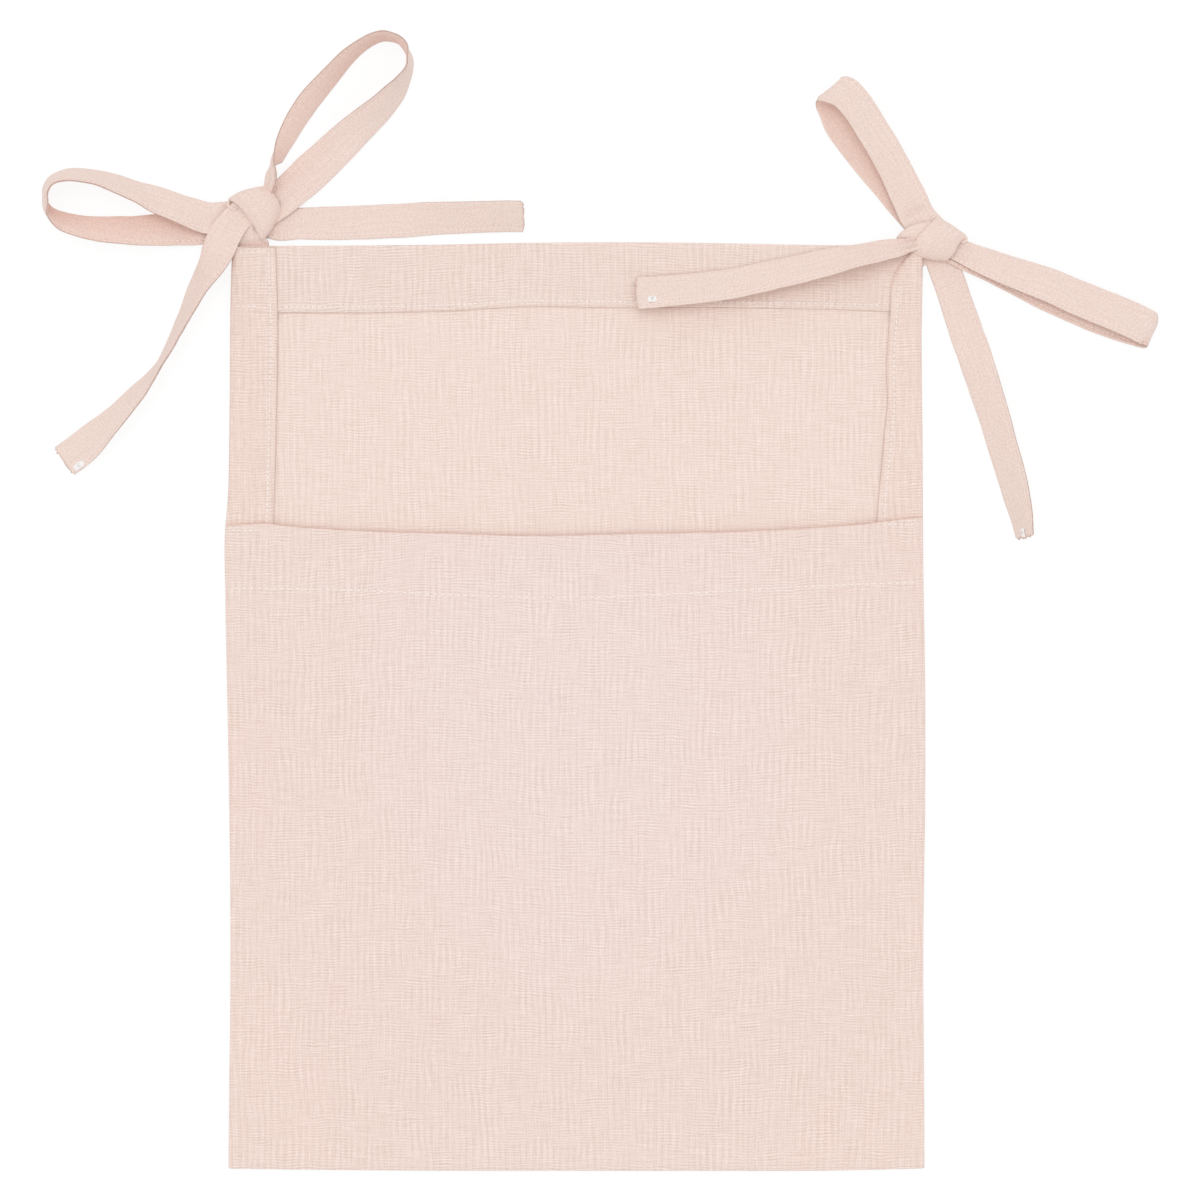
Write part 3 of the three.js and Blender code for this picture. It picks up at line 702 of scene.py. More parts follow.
hem_row = line_points(hem_row_place, -127.5, 134)
left_hem_row = line_points(hem_row_place, -148.3, -134)
left_row = line_points(partial(strip_row_place, -1), 77, 197.6, upright=True)
right_row = line_points(partial(strip_row_place, 1), 77, 184, upright=True)
left_top_tack = level_row(-146.6, -135, 195.7)
left_tack = level_row(-149.8, -134.2, 75.8)
right_tack = level_row(132.4, 148.6, 78.3)
BACK_ROWS = (hem_row, left_row, right_row, left_top_tack, left_tack, right_tack)

PANEL_SHARES = spaced([(0, 1), (0.6, 0.2), (2.4, 0.6), (34, 2), (266, 4), (297.6, 2), (299.4, 0.6),
                       (300, 0.2)]) / 300
PANEL_HEIGHTS = spaced([(PANEL_BOTTOM, 1), (PANEL_BOTTOM + 0.6, 0.2), (PANEL_BOTTOM + 3, 0.8),
                        (168, 4), (178, 1.2), (PANEL_TOP - FOLD, 3)])
FOLD_ANGLES = np.radians(spaced([(-75, 15), (75, 15)]))
STRIP_SHARES = spaced([(0, 1), (0.05, 0.02), (0.2, 0.05), (0.7, 0.09), (0.9, 0.04), (1.0, 0.025)])
STRIP_ROWS = spaced([(71.5, 1), (80, 1), (160, 2), (176, 0.8), (190, 1.5), (PANEL_TOP - 0.2, 0.8)])
ROLL_START = 172


def back_cloth():
    """One sheet: up the back, round the fold at the top edge and down again as the hem."""
    share = PANEL_SHARES[None, :]
    strips = []
    for height in PANEL_HEIGHTS:
        x, y = round_corners(*plan_row(share, height))
        nearest = np.minimum(from_side(x, y), y - bottom_edge(x))
        strips.append((x, y, BACK_LEVEL + root_lift(x, y) + 0.3 * edge_turn(nearest, 1.2), y, 1.0))
    x, y = plan_row(share, PANEL_TOP - FOLD)
    for angle in FOLD_ANGLES:
        z = BACK_LEVEL + FOLD + FOLD * math.sin(angle) + root_lift(x, y)
        strips.append((x, y + FOLD * math.cos(angle), z, y + FOLD * (angle + math.pi / 2), 1.0))
    fold_line = y
    hem_end = hem_edge(-PANEL_SIDE + 2 * PANEL_SIDE * share)
    for depth in spaced([(0, 1), (22, 3), (30, 0.8)]) / 30:
        y = fold_line + (hem_end - fold_line) * depth
        x = between_sides(share, y)
        distance = y - hem_end
        turned = 0.1 * smooth(1 - distance / 6) - 0.45 * smooth(1 - distance / 1.6)
        pucker = 0.10 * puckers(distance - HEM_STITCH_INSET, 2.4, x, 0.9, 2, 0.13)
        full = (1 + 0.5 * smooth(1 - distance / 6)) * rounded_edge(distance, 1.4)
        z = HEM_LEVEL + root_lift(x, y) + turned + pucker
        strips.append((x, y, z, 2 * fold_line - y + FOLD * math.pi, full))
    grid = grid_of(strips)
    middle = grid[..., :3].copy()
    x, y = middle[..., 0], middle[..., 1]
    is_back = (np.arange(len(grid)) < len(PANEL_HEIGHTS))[:, None]
    seam = np.where(is_back[..., None], seam_field(middle[..., :2], [(row, HEM_PITCH) for row in BACK_ROWS]),
                    seam_field(middle[..., :2], [(hem_row, HEM_PITCH)]))
    middle[..., 2] += 0.12 * ripple(x, y, 34, 1) + np.where(is_back, 0.06, 0)
    half = CLOTH / 2 * grid[..., 4] * rounded_edge(from_side(x, y), 0.6)
    bend = 2.0 * ripple(x, y, 120, 2)
    weave = np.stack([x + bend, grid[..., 3] + 1.5 * bend], axis=-1)
    piece = cloth_mesh("back_cloth", middle, half, weave, panel_cloth, seam, normals=-grid_normals(middle))
    return on_panel(piece, "panel_cloth", "back_panel", "top_hem")


def strip_surface(side, x, y):
    """Middle height of a side strip; its outer edge turns down to the back cloth, and the top of
    the right strip is pulled into a roll by the knot."""
    outer, inner = SIDE_LINES[side]
    from_outer = np.abs(x - outer(y))
    from_inner = np.abs(inner(y) - x)
    over_hem = smooth((y - (hem_edge(x) - HEM_STEP - 1)) / HEM_STEP)
    z = STRIP_LEVEL + LAYER * over_hem + root_lift(x, y)
    z = z - 0.75 * edge_turn(from_outer, 1.8) - 0.4 * edge_turn(from_inner, 1.4)
    z = z + 0.09 * puckers(x - strip_row_place(side, y), 2.0, y, 0.95, 2, 0.11)
    z = z + 0.10 * ripple(x, y, 22, 3 + side)
    if side > 0:
        rolled = smooth((y - ROLL_START) / 22)
        across = np.clip(from_outer / np.maximum(from_outer + from_inner, 1e-6), 0, 1)
        z = z + rolled * (0.5 - 1.9 * (2 * across - 1) ** 4)
    return z


def side_strip(name, side, rows, replaced):
    outer, inner = SIDE_LINES[side]
    y = STRIP_ROWS[:, None]
    y = y + smooth((y - 190) / 9) * (top_edge(side * 140) - PANEL_TOP) + 0 * STRIP_SHARES[None, :]
    x = outer(y) + (inner(y) - outer(y)) * STRIP_SHARES[None, :]
    middle = np.stack([x, y, strip_surface(side, x, y)], axis=-1)
    seam = seam_field(middle[..., :2], [(row, HEM_PITCH) for row in rows])
    half = STRIP_CLOTH / 2 * rounded_edge(np.abs(x - outer(y)), 0.9) * rounded_edge(np.abs(x - inner(y)), 0.9)
    half = half * rounded_edge(PANEL_TOP - y, 0.8) * (1 - 0.35 * bell(seam[..., 0], 0.7))
    weave = np.stack([x, y + 1.2 * ripple(x, y, 40, 5)], axis=-1)
    normals = grid_normals(middle)
    normals = np.where(normals[..., 2:] < 0, -normals, normals)
    piece = cloth_mesh(name, middle, half, weave, strip_cloth, seam, normals=normals)
    return on_panel(piece, "panel_cloth", replaced)


# Pocket: each half is one sheet, up the front, round the mouth's fold and down inside as the hem
POCKET_SHARES = spaced([(0, 1), (0.6, 0.15), (5, 0.55), (24, 2), (150, 3)]) / 150
POCKET_HEIGHTS = spaced([(0, 1), (0.6, 0.15), (4, 0.6), (215, 3), (232, 2)])
MOUTH_STEPS = spaced([(0, 1), (26, 0.8), (44, 1.8), (46, 0.7)])[1:] / 46
TUCK = 1.2
# Rows of the mouth's fold that get the painted edge shade
SHADED_FOLD_ROWS = 10


def front_level(x, y):
    """Middle height of the pocket's front."""
    inward, above = from_side(x, y), y - bottom_edge(x)
    nearest = np.minimum(inward, above)
    over_strips = smooth((y - (mouth_edge(x) - HEM_END_RISE)) / 12) * smooth(1 - (inward - STRIP_REACH) / 14)
    base = FRONT_LEVEL + (CORNER_LEVEL - FRONT_LEVEL) * over_strips
    rise = FRONT_RISE + (MOUTH_RISE - FRONT_RISE) * smooth((y - 5) / 65)
    z = SEAM_LEVEL + (base - SEAM_LEVEL) * rounded_edge(nearest, 4, share=0)
    z = z + rise * smooth(inward / SIDE_SLOPE) * smooth(above / BOTTOM_SLOPE)
    z = z + smooth(nearest / 12) * (0.55 * ripple(x, y, 75, 6) + 0.22 * ripple(x, y, 26, 7))
    above_row = y - mouth_stitches(x)
    z = z + 0.22 * smooth((above_row + 3.4) / 1.8)
    return z + 0.11 * puckers(above_row, 3.0, x, 0.83, 2.3, 0.09) * smooth(inward / 4)


def pocket_half(name, side, tack_row):
    edge = SIDE_LINES[side][0]
    share = POCKET_SHARES[None, :]
    nominal_x = side * PANEL_SIDE * (1 - share)
    mouth = mouth_edge(nominal_x) - FOLD
    front = [bottom_edge(nominal_x) + height for height in POCKET_HEIGHTS]
    start = front[-1]
    front.extend(start + (mouth - start) * t for t in MOUTH_STEPS)
    strips = []
    for y in front:
        x, y = round_corners(edge(y) * (1 - share), y)
        strips.append((x, y, front_level(x, y), y))
    x_fold = edge(mouth) * (1 - share)
    z_fold = front_level(x_fold, mouth)
    for angle in -FOLD_ANGLES:
        strips.append((x_fold, mouth + FOLD * math.cos(angle), z_fold - FOLD + FOLD * math.sin(angle),
                       mouth + FOLD * (math.pi / 2 - angle)))
    hem_end = mouth_stitches(nominal_x) - HEM_STITCH_INSET
    for t in spaced([(0, 1), (1, 0.08)]):
        y = mouth + (hem_end - mouth) * t
        x = edge(y) * (1 - (np.maximum(share, TUCK / PANEL_SIDE) if t > 0 else share))
        strips.append((x, y, front_level(x, y) - LAYER, 2 * mouth - y + math.pi * FOLD))
    grid = grid_of(strips)
    middle = grid[..., :3]
    x, y = middle[..., 0], middle[..., 1]
    row = line_points(mouth_stitches, side * MOUTH_SEAM_END, 0)
    seam = seam_field(middle[..., :2], [(row, MOUTH_PITCH), (tack_row, HEM_PITCH)])
    seam[len(front):] = (NO_SEAM, 0.0)
    half = CLOTH / 2 * rounded_edge(np.abs(edge(y) - x), 0.6) * rounded_edge(np.abs(y - bottom_edge(x)), 0.6)
    bend = 2.6 * ripple(x, y, 110, 8) + 1.0 * ripple(x, y, 45, 9)
    weave = np.stack([x + bend, grid[..., 3] + 1.4 * bend], axis=-1)
    # The mouth's fold gets the painted edge shade too
    first_shaded_row = len(front) + 1
    piece = cloth_mesh(name, middle, half, weave, pocket_cloth, seam,
                       normals=normals_up_at(middle, len(POCKET_HEIGHTS) // 2, 10),
                       cut_square=True, shaded_rows=range(first_shaded_row, first_shaded_row + SHADED_FOLD_ROWS))
    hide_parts("pocket_front", "pocket_mouth_hem")
    blend_pocket(piece)
    return piece


def blend_pocket(piece):
    """The piece's placement is baked into its mesh."""
    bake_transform(piece)


def allowance(name, low, high, seed):
    """A seam allowance inside the pocket, between two corners: two raw edges, one on the other."""
    spans = [(a, b, max(8, int((b - a) / ALLOWANCE_GRID))) for a, b in zip(low, high)]
    x, y = np.meshgrid(*(np.linspace(*span) for span in spans))
    z = ALLOWANCE_LEVEL + 0.16 * ripple(x, y, 14, seed) + 0.08 * ripple(x, y, 4, seed + 1)
    wander = 0.5 * ripple(x, y, 3, seed + 2)
    width, height = (b - a for a, b in zip(low, high))
    if width < height:
        x = x + wander * (np.abs(x) < np.abs(x).mean())
    else:
        y = y + wander * (y > y.mean())
    middle = np.stack([x, y, z], axis=-1)
    half = np.full(x.shape, ALLOWANCE_HALF)
    piece = cloth_mesh(name + "_cloth", middle, half, middle[..., :2], panel_cloth)
    on_panel(piece, "panel_cloth", name)


# Each strap: its hinge as x, y from the knot and a heading, the side of its row of stitches, and its
# route. A route point is x, y from the knot, height of the lowest edge and lean in degrees, as in the
# CAD. The share of its width that is left may follow, and the heading of its width where it turns over.
ONE_STRAP = STRAP_CLOTH + 0.45
TWO_STRAPS = 2 * ONE_STRAP
OVER_STRIP = 4.6
OVER_HEM = 2.1
STRAPS = {
    "left_side_loop": ((-24, -3.8, 180), 1, [
        (-2, 0, ONE_STRAP, 0), (-11, -1.6, ONE_STRAP, 0, 0.92), (-20.4, -2.1, ONE_STRAP, 8, 0.95),
        (-31, 1.2, 1.3, 30), (-41.5, 5.3, 0.6, 37), (-50.2, 8.7, 0.2, 52), (-59.6, 12.3, 0, 57),
        (-66.6, 14.6, 0, 62), (-73.3, 15.8, 0, 64), (-81.4, 15.9, 0, 67), (-87.1, 13.8, 0, 70),
        (-89.8, 9.6, 0, 75), (-89.9, 3.9, 0, 89.5), (-88, -0.4, 0, 107), (-82.6, -3.7, 0, 123),
        (-76.8, -5.4, 0, 129), (-68.8, -6.9, 0, 136), (-58.2, -7.6, 0, 146), (-47, -7.5, 0, 156),
        (-35.7, -6.9, 0, 168), (-23, -6.2, 0, 177), (-12, -3.5, 0, 180), (-2, 0, 0, 180),
    ]),
    "left_top_loop": ((7.3, 7.7, 36), 1, [
        (1, -1, ONE_STRAP, 0), (9.4, 4.6, 1.8, 0), (15, 9.3, 1.5, 0, 1.05), (23.8, 17.5, 0.4, 0, 1.13),
        (31.3, 24.6, 0.2, 0, 1.09), (42.2, 34.5, 0, 22, 1.02), (54, 44.9, 0, 44), (60.4, 51.8, 0, 57),
        (63.7, 56.3, 0, 70), (66.5, 61.8, 0, 82), (66.6, 66.4, 0, 83), (64.2, 72, 0, 93),
        (60, 74.8, 0, 98.5), (55.2, 75.8, 0, 101), (51.2, 74.7, 0, 103), (45.7, 71.5, 0, 105),
        (39.6, 66.3, 0, 110), (31, 56.8, 0, 119), (23.2, 47.6, 0, 124), (17.4, 38.8, 0, 120),
        (13.2, 30.9, 0.2, 113), (10.8, 26, 0.4, 106), (8.9, 21.9, 0.7, 97, 0.97),
        (7.4, 17.3, 1.2, 68, 0.8), (5.9, 11.3, 1.7, 44, 0.48), (3.5, 5, 2, 36, 0.35),
    ]),
    "left_long_tail": ((18.9, -4.7, 0), -1, [
        (3, -2, 0, 0), (10, -4.4, 0, 0), (18.9, -4.2, 0, 0, 0.93), (30, -4.3, 0, 0, 0.98),
        (47, -3.9, 0, 0), (62, -3.2, 0, 2), (80, -2.2, 0, 21), (97, -1.8, 0, 27), (115.8, -1.5, 0, 28),
    ]),
    "left_hanging_tail": ((-7.6, -2.2, 236), 1, [
        (2, 4, TWO_STRAPS, 0), (-6.8, -1.6, TWO_STRAPS, 0, 0.85), (-12.3, -8.8, TWO_STRAPS, 4, 0.97),
        (-14.9, -14.6, 2.6, 8), (-18, -21.7, 1.2, 30), (-22.7, -29.6, 0.4, 47), (-30.4, -45.4, 0, 64),
        (-37.5, -59.6, 0, 72), (-42.1, -67.2, 0, 73), (-50.9, -78.2, 0, 57), (-63.7, -91.4, 0, 40),
        (-75.2, -101.6, 0, 6), (-82.6, -107.1, 0, 0),
    ]),
    "right_top_loop": ((-10.2, 10.7, 120), -1, [
        (-2, 2, 3, 0), (-8.6, 9.4, 3, 0, 1.03), (-12.9, 18.1, 4, 0, 1.03), (-18.2, 28.7, 5.5, 0, 0.97),
        (-24.8, 40.3, 7, 0, 0.96), (-31.4, 51.2, 8.2, 0, 0.95), (-36.7, 58.5, 8.7, 0, 0.97, 202),
        (-41.1, 62.8, 8.1, 0, 1, 212), (-45.2, 63.7, 5.9, 0, 1, 222), (-46.7, 62.7, 3.2, 0, 1, 226),
        (-46, 60, 1.1, 0, 1, 226), (-43.9, 55.2, 0.4, 180), (-41.9, 50.1, 0.1, 180), (-36.3, 42, 0, 180),
        (-29.6, 33.6, 0, 180), (-22.2, 24.9, 0, 180), (-14.4, 15.4, 0, 180), (-10.4, 10.8, 0, 180),
        (-2, 2, 0, 180),
    ]),
    "right_side_loop": ((14, -7.8, -20), -1, [
        (1, -1, 1.9, 0, 0.6), (8.9, -4.9, 2.4, 0, 0.67), (15.2, -7.8, 2.5, -6, 0.75),
        (22.6, -10.9, 2.5, -12, 0.87), (30.1, -13.8, 2.6, -12, 0.92), (46.1, -19.4, 3.2, -6),
        (65.5, -27.6, 4.2, 0, 1.04), (83, -34.9, 4.9, 0, 1.05), (90.2, -38.5, 4.2, 0, 1.04, 65),
        (91.6, -39.2, 2.5, 0, 1.04, 65), (90.2, -39.6, 1, 0, 1.04, 65), (85.4, -38.6, 0.5, 180),
        (68.7, -32.9, 0, 180), (44.9, -22.4, 0, 180), (28, -14.3, 0.3, 180, 0.9),
        (12.3, -8.3, 1.3, 180, 0.72), (1, -3.5, 1.3, 180, 0.6),
    ]),
    "right_long_tail": ((-13.5, -3.3, 194), 1, [
        (0, 0, OVER_STRIP + 0.7, 10, 0.38), (-13.5, -3.2, OVER_STRIP + 0.5, 12, 0.42),
        (-18.2, -4.3, OVER_STRIP, 28, 0.62), (-26.3, -5.9, OVER_HEM + 1.8, 38, 0.82),
        (-34, -7.5, OVER_HEM + 1.2, 46), (-48.9, -10.6, OVER_HEM, 34), (-64.3, -14.3, OVER_HEM, 28),
        (-93, -20.1, OVER_HEM, 24), (-119.2, -22.9, OVER_HEM, 20), (-130.2, -23.6, OVER_HEM, 16),
    ]),
    "right_hanging_tail": ((4.3, -15.8, -73), 1, [
        (0, -3, 0, 0), (4.4, -16.8, 0, 0, 0.94), (7.6, -26.2, 0, 0, 0.95), (10.5, -34.9, 0, 0, 0.98),
        (14, -44.9, 0, 6), (20.2, -64.1, 0, 23), (26.9, -86.4, 0, 33), (32.4, -105.7, 0, 40),
        (35.7, -119.7, 0, 54), (37.3, -128.7, 0, 64),
    ]),
    "left_tie_root": (None, 1, [
        (0, -3, 2.4, 0, 0.5), (-2, -9.5, 2.7, 0, 0.68), (-1.4, -13, 1.1, 0), (-1.5, -15.6, 0, 0),
        (-1.5, -20, 0, 0), (-1.5, -26.9, 0, 0),
    ]),
    "right_tie_root": (None, 1, [(-1, -2, 0, 0), (-9, -5, 0, 0), (-13.3, -9, 0, 0), (-14, -15.7, 0, 0)]),
}
STRAP_SEEDS = [*range(100, 180, 10), 200, 210]
# Where a strap is pinched just outside its knot: run from its first point, depth
PINCHES = {"right_top_loop": (11.6, 1.3)}
# How a loop bows where it turns over: run from its first point, and depth over its width
BOWS = {
    "left_side_loop": [(101.5, through([(-1, -1), (-0.3, 0.6), (0.3, 0.3), (1, -2.2)]))],
    "left_top_loop": [
        (101.5, through([(-1, 0.4), (-0.2, -0.9), (1, 0.9)])),
        (186, through([(-1, -1.1), (-0.3, 0.8), (0.3, 0.8), (1, -1.3)])),
    ],
    "right_top_loop": [
        (80, through([(-1, -1.4), (-0.5, 0.1), (0, 0.8), (0.5, 1.1), (0.85, 0.7), (1, -0.2)])),
    ],
    "right_side_loop": [(98, through([(-1, -0.7), (-0.5, 0.8), (0, 1.2), (0.5, 0.9), (1, -0.3)]))],
}
# White thread at the end of a tail: place from its end and over its width, and length
TACKS = {"left_hanging_tail": (4.8, 0.72, 5.4), "right_long_tail": (7.5, 0.45, 4.2),
         "right_hanging_tail": (2.4, 0.0, 4.2)}
STATION = 1.2
SECTION = np.array([-1, -0.985, -0.94, -0.86, -0.78, -0.71, -0.64, -0.5, -0.25, 0,
                    0.25, 0.5, 0.64, 0.71, 0.78, 0.86, 0.94, 0.985, 1])
STITCH_SHARE = 1 - 2 * STITCH_INSET / STRAP_WIDTH


def curve_point(points, t, power=0.5):
    """A point of the Catmull-Rom curve through points at t from 0 to 1; power spaces its knots."""
    place = t * (len(points) - 1)
    i = min(int(place), len(points) - 2)
    p1, p2 = points[i], points[i + 1]
    p0 = points[i - 1] if i else 2 * p1 - p2
    p3 = points[i + 2] if i + 2 < len(points) else 2 * p2 - p1
    d0, d1, d2 = (max(np.linalg.norm(b - a), 1e-3) ** power for a, b in ((p0, p1), (p1, p2), (p2, p3)))
    start = ((p1 - p0) / d0 - (p2 - p0) / (d0 + d1) + (p2 - p1) / d1) * d1
    end = ((p2 - p1) / d1 - (p3 - p1) / (d1 + d2) + (p3 - p2) / d2) * d1
    w = place - i
    return (p1 + start * w + (3 * (p2 - p1) - 2 * start - end) * w**2
            + (2 * (p1 - p2) + start + end) * w**3)


def curve_step(points, t, nudge):
    """How a curve moves on from just before t to just after it."""
    return curve_point(points, min(t + nudge, 1)) - curve_point(points, max(t - nudge, 0))


def strap_frames(route):
    """Stations along a strap: middle point, width direction, face direction, share of the width."""
    centres, width_directions, shares = [], [], []
    for i, (x, y, rest, lean, *more) in enumerate(route):
        share = more[0] if more else 1
        before, after = route[max(i - 1, 0)], route[min(i + 1, len(route) - 1)]
        turn = math.atan2(after[1] - before[1], after[0] - before[0]) + math.pi / 2
        if len(more) > 1:
            turn = math.radians(more[1])
        level, steep = in_plan(lean)
        rise = abs(steep) * share * STRAP_WIDTH / 2 + abs(level) * STRAP_CLOTH / 2
        centres.append(np.array([x, y, rest + rise]))
        width_directions.append(np.array([math.cos(turn) * level, math.sin(turn) * level, steep]))
        shares.append(share)
    stops = [0.0]
    for i in range(len(centres) - 1):
        count = max(2, round(np.linalg.norm(centres[i + 1] - centres[i]) / STATION))
        stops.extend((i + (k + 1) / count) / (len(centres) - 1) for k in range(count))
    stops[-1] = 1.0
    stations = []
    for t in stops:
        along = unit(curve_step(centres, t, 1e-4))
        across = square_to(curve_point(width_directions, t, 0), along)
        face = np.cross(along, across)
        if stations and np.dot(face, stations[-1][2]) < 0:
            face = -face
        share = np.interp(t * (len(shares) - 1), range(len(shares)), shares)
        stations.append((curve_point(centres, t), across, face, share))
    return [np.array(column) for column in zip(*stations)]


def strap_mesh(name, knot, seed):
    """The cloth of one strap, its length, and where its row of stitches lies on both faces."""
    _, stitched, route = STRAPS[name]
    centres, across, face, share = strap_frames(route)
    centres = centres + np.array([*knot, 0])
    run = run_along(centres)
    a = SECTION[None, :]
    width = (STRAP_WIDTH * share)[:, None]
    s = run[:, None] + 0 * a
    place_across = a * width / 2
    distance = np.abs(a - stitched * STITCH_SHARE) * width / 2
    wave_out = 0.34 * ripple(s, place_across, 16, seed) + 0.16 * ripple(s, place_across, 6, seed + 1)
    wave_out = wave_out + 1.3 * (1 - share[:, None]) * np.cos(2.4 * math.pi * a + 0.05 * s)
    wave_out = wave_out + 0.07 * bell(distance, 1.6) * np.sin(s * 1.05 + seed)
    for place, depth in BOWS.get(name, ()):
        wave_out = wave_out + depth(a) * bell(s - place, 5)
    if name in PINCHES:
        place, depth = PINCHES[name]
        wave_out = wave_out - depth * np.exp(-((s - place) / 2.6) ** 2 - (a / 0.8) ** 4)
    wobble = 0.22 * ripple(s, 0 * s + seed, 9, seed + 2)
    middle = (centres[:, None, :] + across[:, None, :] * (place_across + wobble)[..., None]
              + face[:, None, :] * wave_out[..., None])
    half = STRAP_CLOTH / 2 * rounded_edge(1 - np.abs(a), 0.16, share=0.36)
    half = half * (1 - 0.42 * bell(distance, 0.75)) + 0 * s
    if name.endswith("tail"):
        last = np.clip((run[-1] - run) / 1.2, 0, 1)[:, None]
        half = half * (0.45 + 0.55 * last)
        ragged = 0.8 * ripple(place_across * 3, s * 0 + seed, 1.5, seed + 4) - 0.9 * a**6
        middle = middle + np.gradient(centres, axis=0)[:, None, :] * ((1 - last) * ragged)[..., None]
    weave = np.stack([place_across, s], axis=-1)
    seam = np.stack([distance, s / HEM_PITCH], axis=-1)
    normals = np.repeat(face[:, None, :], len(SECTION), axis=1)
    piece = cloth_mesh(name + "_cloth", middle, half, weave, tie_cloth, seam, normals=normals,
                       inner=1.0 if name.endswith("loop") else 0.0)
    column = int(np.argmin(np.abs(SECTION - stitched * STITCH_SHARE)))
    rows = [(middle[:, column] + up * half[:, column][:, None], up) for up in (face, -face)]
    return piece, run[-1], rows


def attach_strap(piece, name):
    """A root has no hinge and stays on the panel; the placement of any other strap is baked into its mesh."""
    hinge = STRAPS[name][0]
    if hinge is None:
        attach(piece, "panel")
        return
    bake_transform(piece)


def strap(name, seed):
    """One strap of a tie, with its rows of stitches."""
    knot = LEFT_KNOT if name.startswith("left") else RIGHT_KNOT
    piece, length, rows = strap_mesh(name, knot, seed)
    thread = Stitching()
    for points, ups in rows:
        thread.row(points, ups)
    extras = [thread.finish(name + "_stitches", tie_thread)]
    if name in TACKS:
        extras.append(end_tack(name, knot))
    for one in (piece, *extras):
        attach_strap(one, name)
    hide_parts(name)


def end_tack(name, knot):
    """The thread's fastening-off at the end of a tail."""
    from_end, share, length = TACKS[name]
    centres, across, face, _ = strap_frames(STRAPS[name][2])
    run = run_along(centres)
    i = int(np.searchsorted(run, run[-1] - from_end))
    up = face[i] if face[i][2] > 0 else -face[i]
    along = unit(centres[i] - centres[i - 1])
    centre = centres[i] + np.array([*knot, 0]) + across[i] * share * STRAP_WIDTH / 2 + up * STRAP_CLOTH / 2
    thread = Stitching()
    thread.tack(centre, along, up, length)
    thread.tack(centre - along * 0.4 - across[i] * 0.6, across[i], up, 2.2, turns=3)
    return thread.finish(name + "_tack", white_thread)


# Knots: the turns of strap pulled over the bundle, each drawn between its two edges in plan
LEFT_BAND = (
    [(-11.4, 5.7), (-9.2, 4.6), (-7, 3.1), (-4.7, 0.2), (-2.1, -2.9), (-0.4, -5.5), (1.2, -8.6),
     (2.6, -11.6)],
    [(4.6, 11.1), (6.9, 9.6), (8.3, 7.7), (10, 4.9), (10.8, 2)],
)
RIGHT_BAND = (
    [(-0.9, 9.3), (-2.8, 7.1), (-5.6, 4.3), (-8.5, 1.7), (-9.9, -1.6), (-11, -6)],
    [(12.2, 0.6), (9.3, -1.6), (8.1, -3.5), (7.1, -5.9), (5.7, -7.3), (4.3, -8.9)],
)
RIGHT_UNDER_BAND = (
    [(-17.2, 0.1), (-14.6, -0.6), (-11.8, -0.8), (-9, -1), (-2, -1)],
    [(-17.3, 0.5), (-15.9, 2.3), (-14.2, 3.8), (-12.3, 5), (-9.9, 6), (-7.1, 6.7), (-2.8, 7.3), (2, 7)],
)
LEFT_LIP = [(-11.3, 5.2), (-11.5, 3.2), (-9.9, 1.9), (-7.4, 1.4)]
RIGHT_LIP = [(9.6, 0.6), (11.2, 1), (12, -0.2), (11, -1.4), (9.9, -1.4)]
BAND_COLUMNS = 25
BAND_MIDDLE = BAND_COLUMNS // 2
BAND_HALF = 0.62
UNDER_BAND_WIDTH = 10
LIP_STATIONS, LIP_SIDES = 15, 12
CORE_COLUMNS, CORE_RINGS = 21, 40


def along_edge(points, t):
    points = np.array(points, float)
    run = run_along(points)
    place = np.clip(t, 0, 1) * run[-1]
    i = min(int(np.searchsorted(run, place, side="right")) - 1, len(points) - 2)
    w = (place - run[i]) / (run[i + 1] - run[i])
    return curve_point(list(points), (i + w) / (len(points) - 1))


def wrap(name, replaced, knot, edges, angles, waist, heights, crown, bulges, seed, width=STRAP_WIDTH):
    """A turn of strap over a knot: it rises from one side, crosses the top and goes under again.

    heights are its levels along its two edges on top, crown is how far it is domed between them, and
    bulges are how far its middle stands out at its first and last side. width is what shows of the strap.
    """
    first = math.cos(math.radians(angles[0])) if angles[0] < 180 else -1.0
    a = np.linspace(-1, 1, BAND_COLUMNS)
    a = np.sign(a) * np.abs(a) ** 0.8
    rows, weave_rows, run = [], [], 0.0
    for angle in np.radians(spaced([(angles[0], 1), (angles[1], 7)])):
        reach, sine = math.cos(angle), math.sin(angle)
        t = (reach - first) / (1 - first)
        one, other = along_edge(edges[0], t), along_edge(edges[1], t)
        ahead = unit(along_edge(edges[0], min(t + 0.02, 1)) - along_edge(edges[0], max(t - 0.02, 0)))
        bulge = bulges[0] if reach < 0 else bulges[1]
        plan = one + (other - one) * ((a + 1) / 2)[:, None] + ahead * (bulge * reach * (1 - a**2))[:, None]
        top = np.interp(a, (-1, 1), heights) + crown * (1 - np.abs(a) ** 2.5)
        z = waist + sine * ((top - waist) if sine > 0 else waist * 0.8)
        rows.append(np.column_stack([plan + np.array(knot), z + 0 * a]))
        if len(rows) > 1:
            run += np.linalg.norm(rows[-1][BAND_MIDDLE] - rows[-2][BAND_MIDDLE])
        weave_rows.append(np.column_stack([a * width / 2, run + 0 * a]))
    middle, weave = np.array(rows), np.array(weave_rows)
    normals = normals_up_at(middle, int(np.argmax(middle[:, BAND_MIDDLE, 2])), BAND_MIDDLE)
    middle = middle + normals * (0.28 * ripple(weave[..., 0], weave[..., 1], 6, seed))[..., None]
    half = BAND_HALF * rounded_edge(1 - np.abs(a), 0.12, share=0.5)[None, :] + 0 * middle[..., 0]
    piece = cloth_mesh(name, middle, half, weave, tie_cloth, normals=normals)
    on_panel(piece, "tie_cloth", replaced)


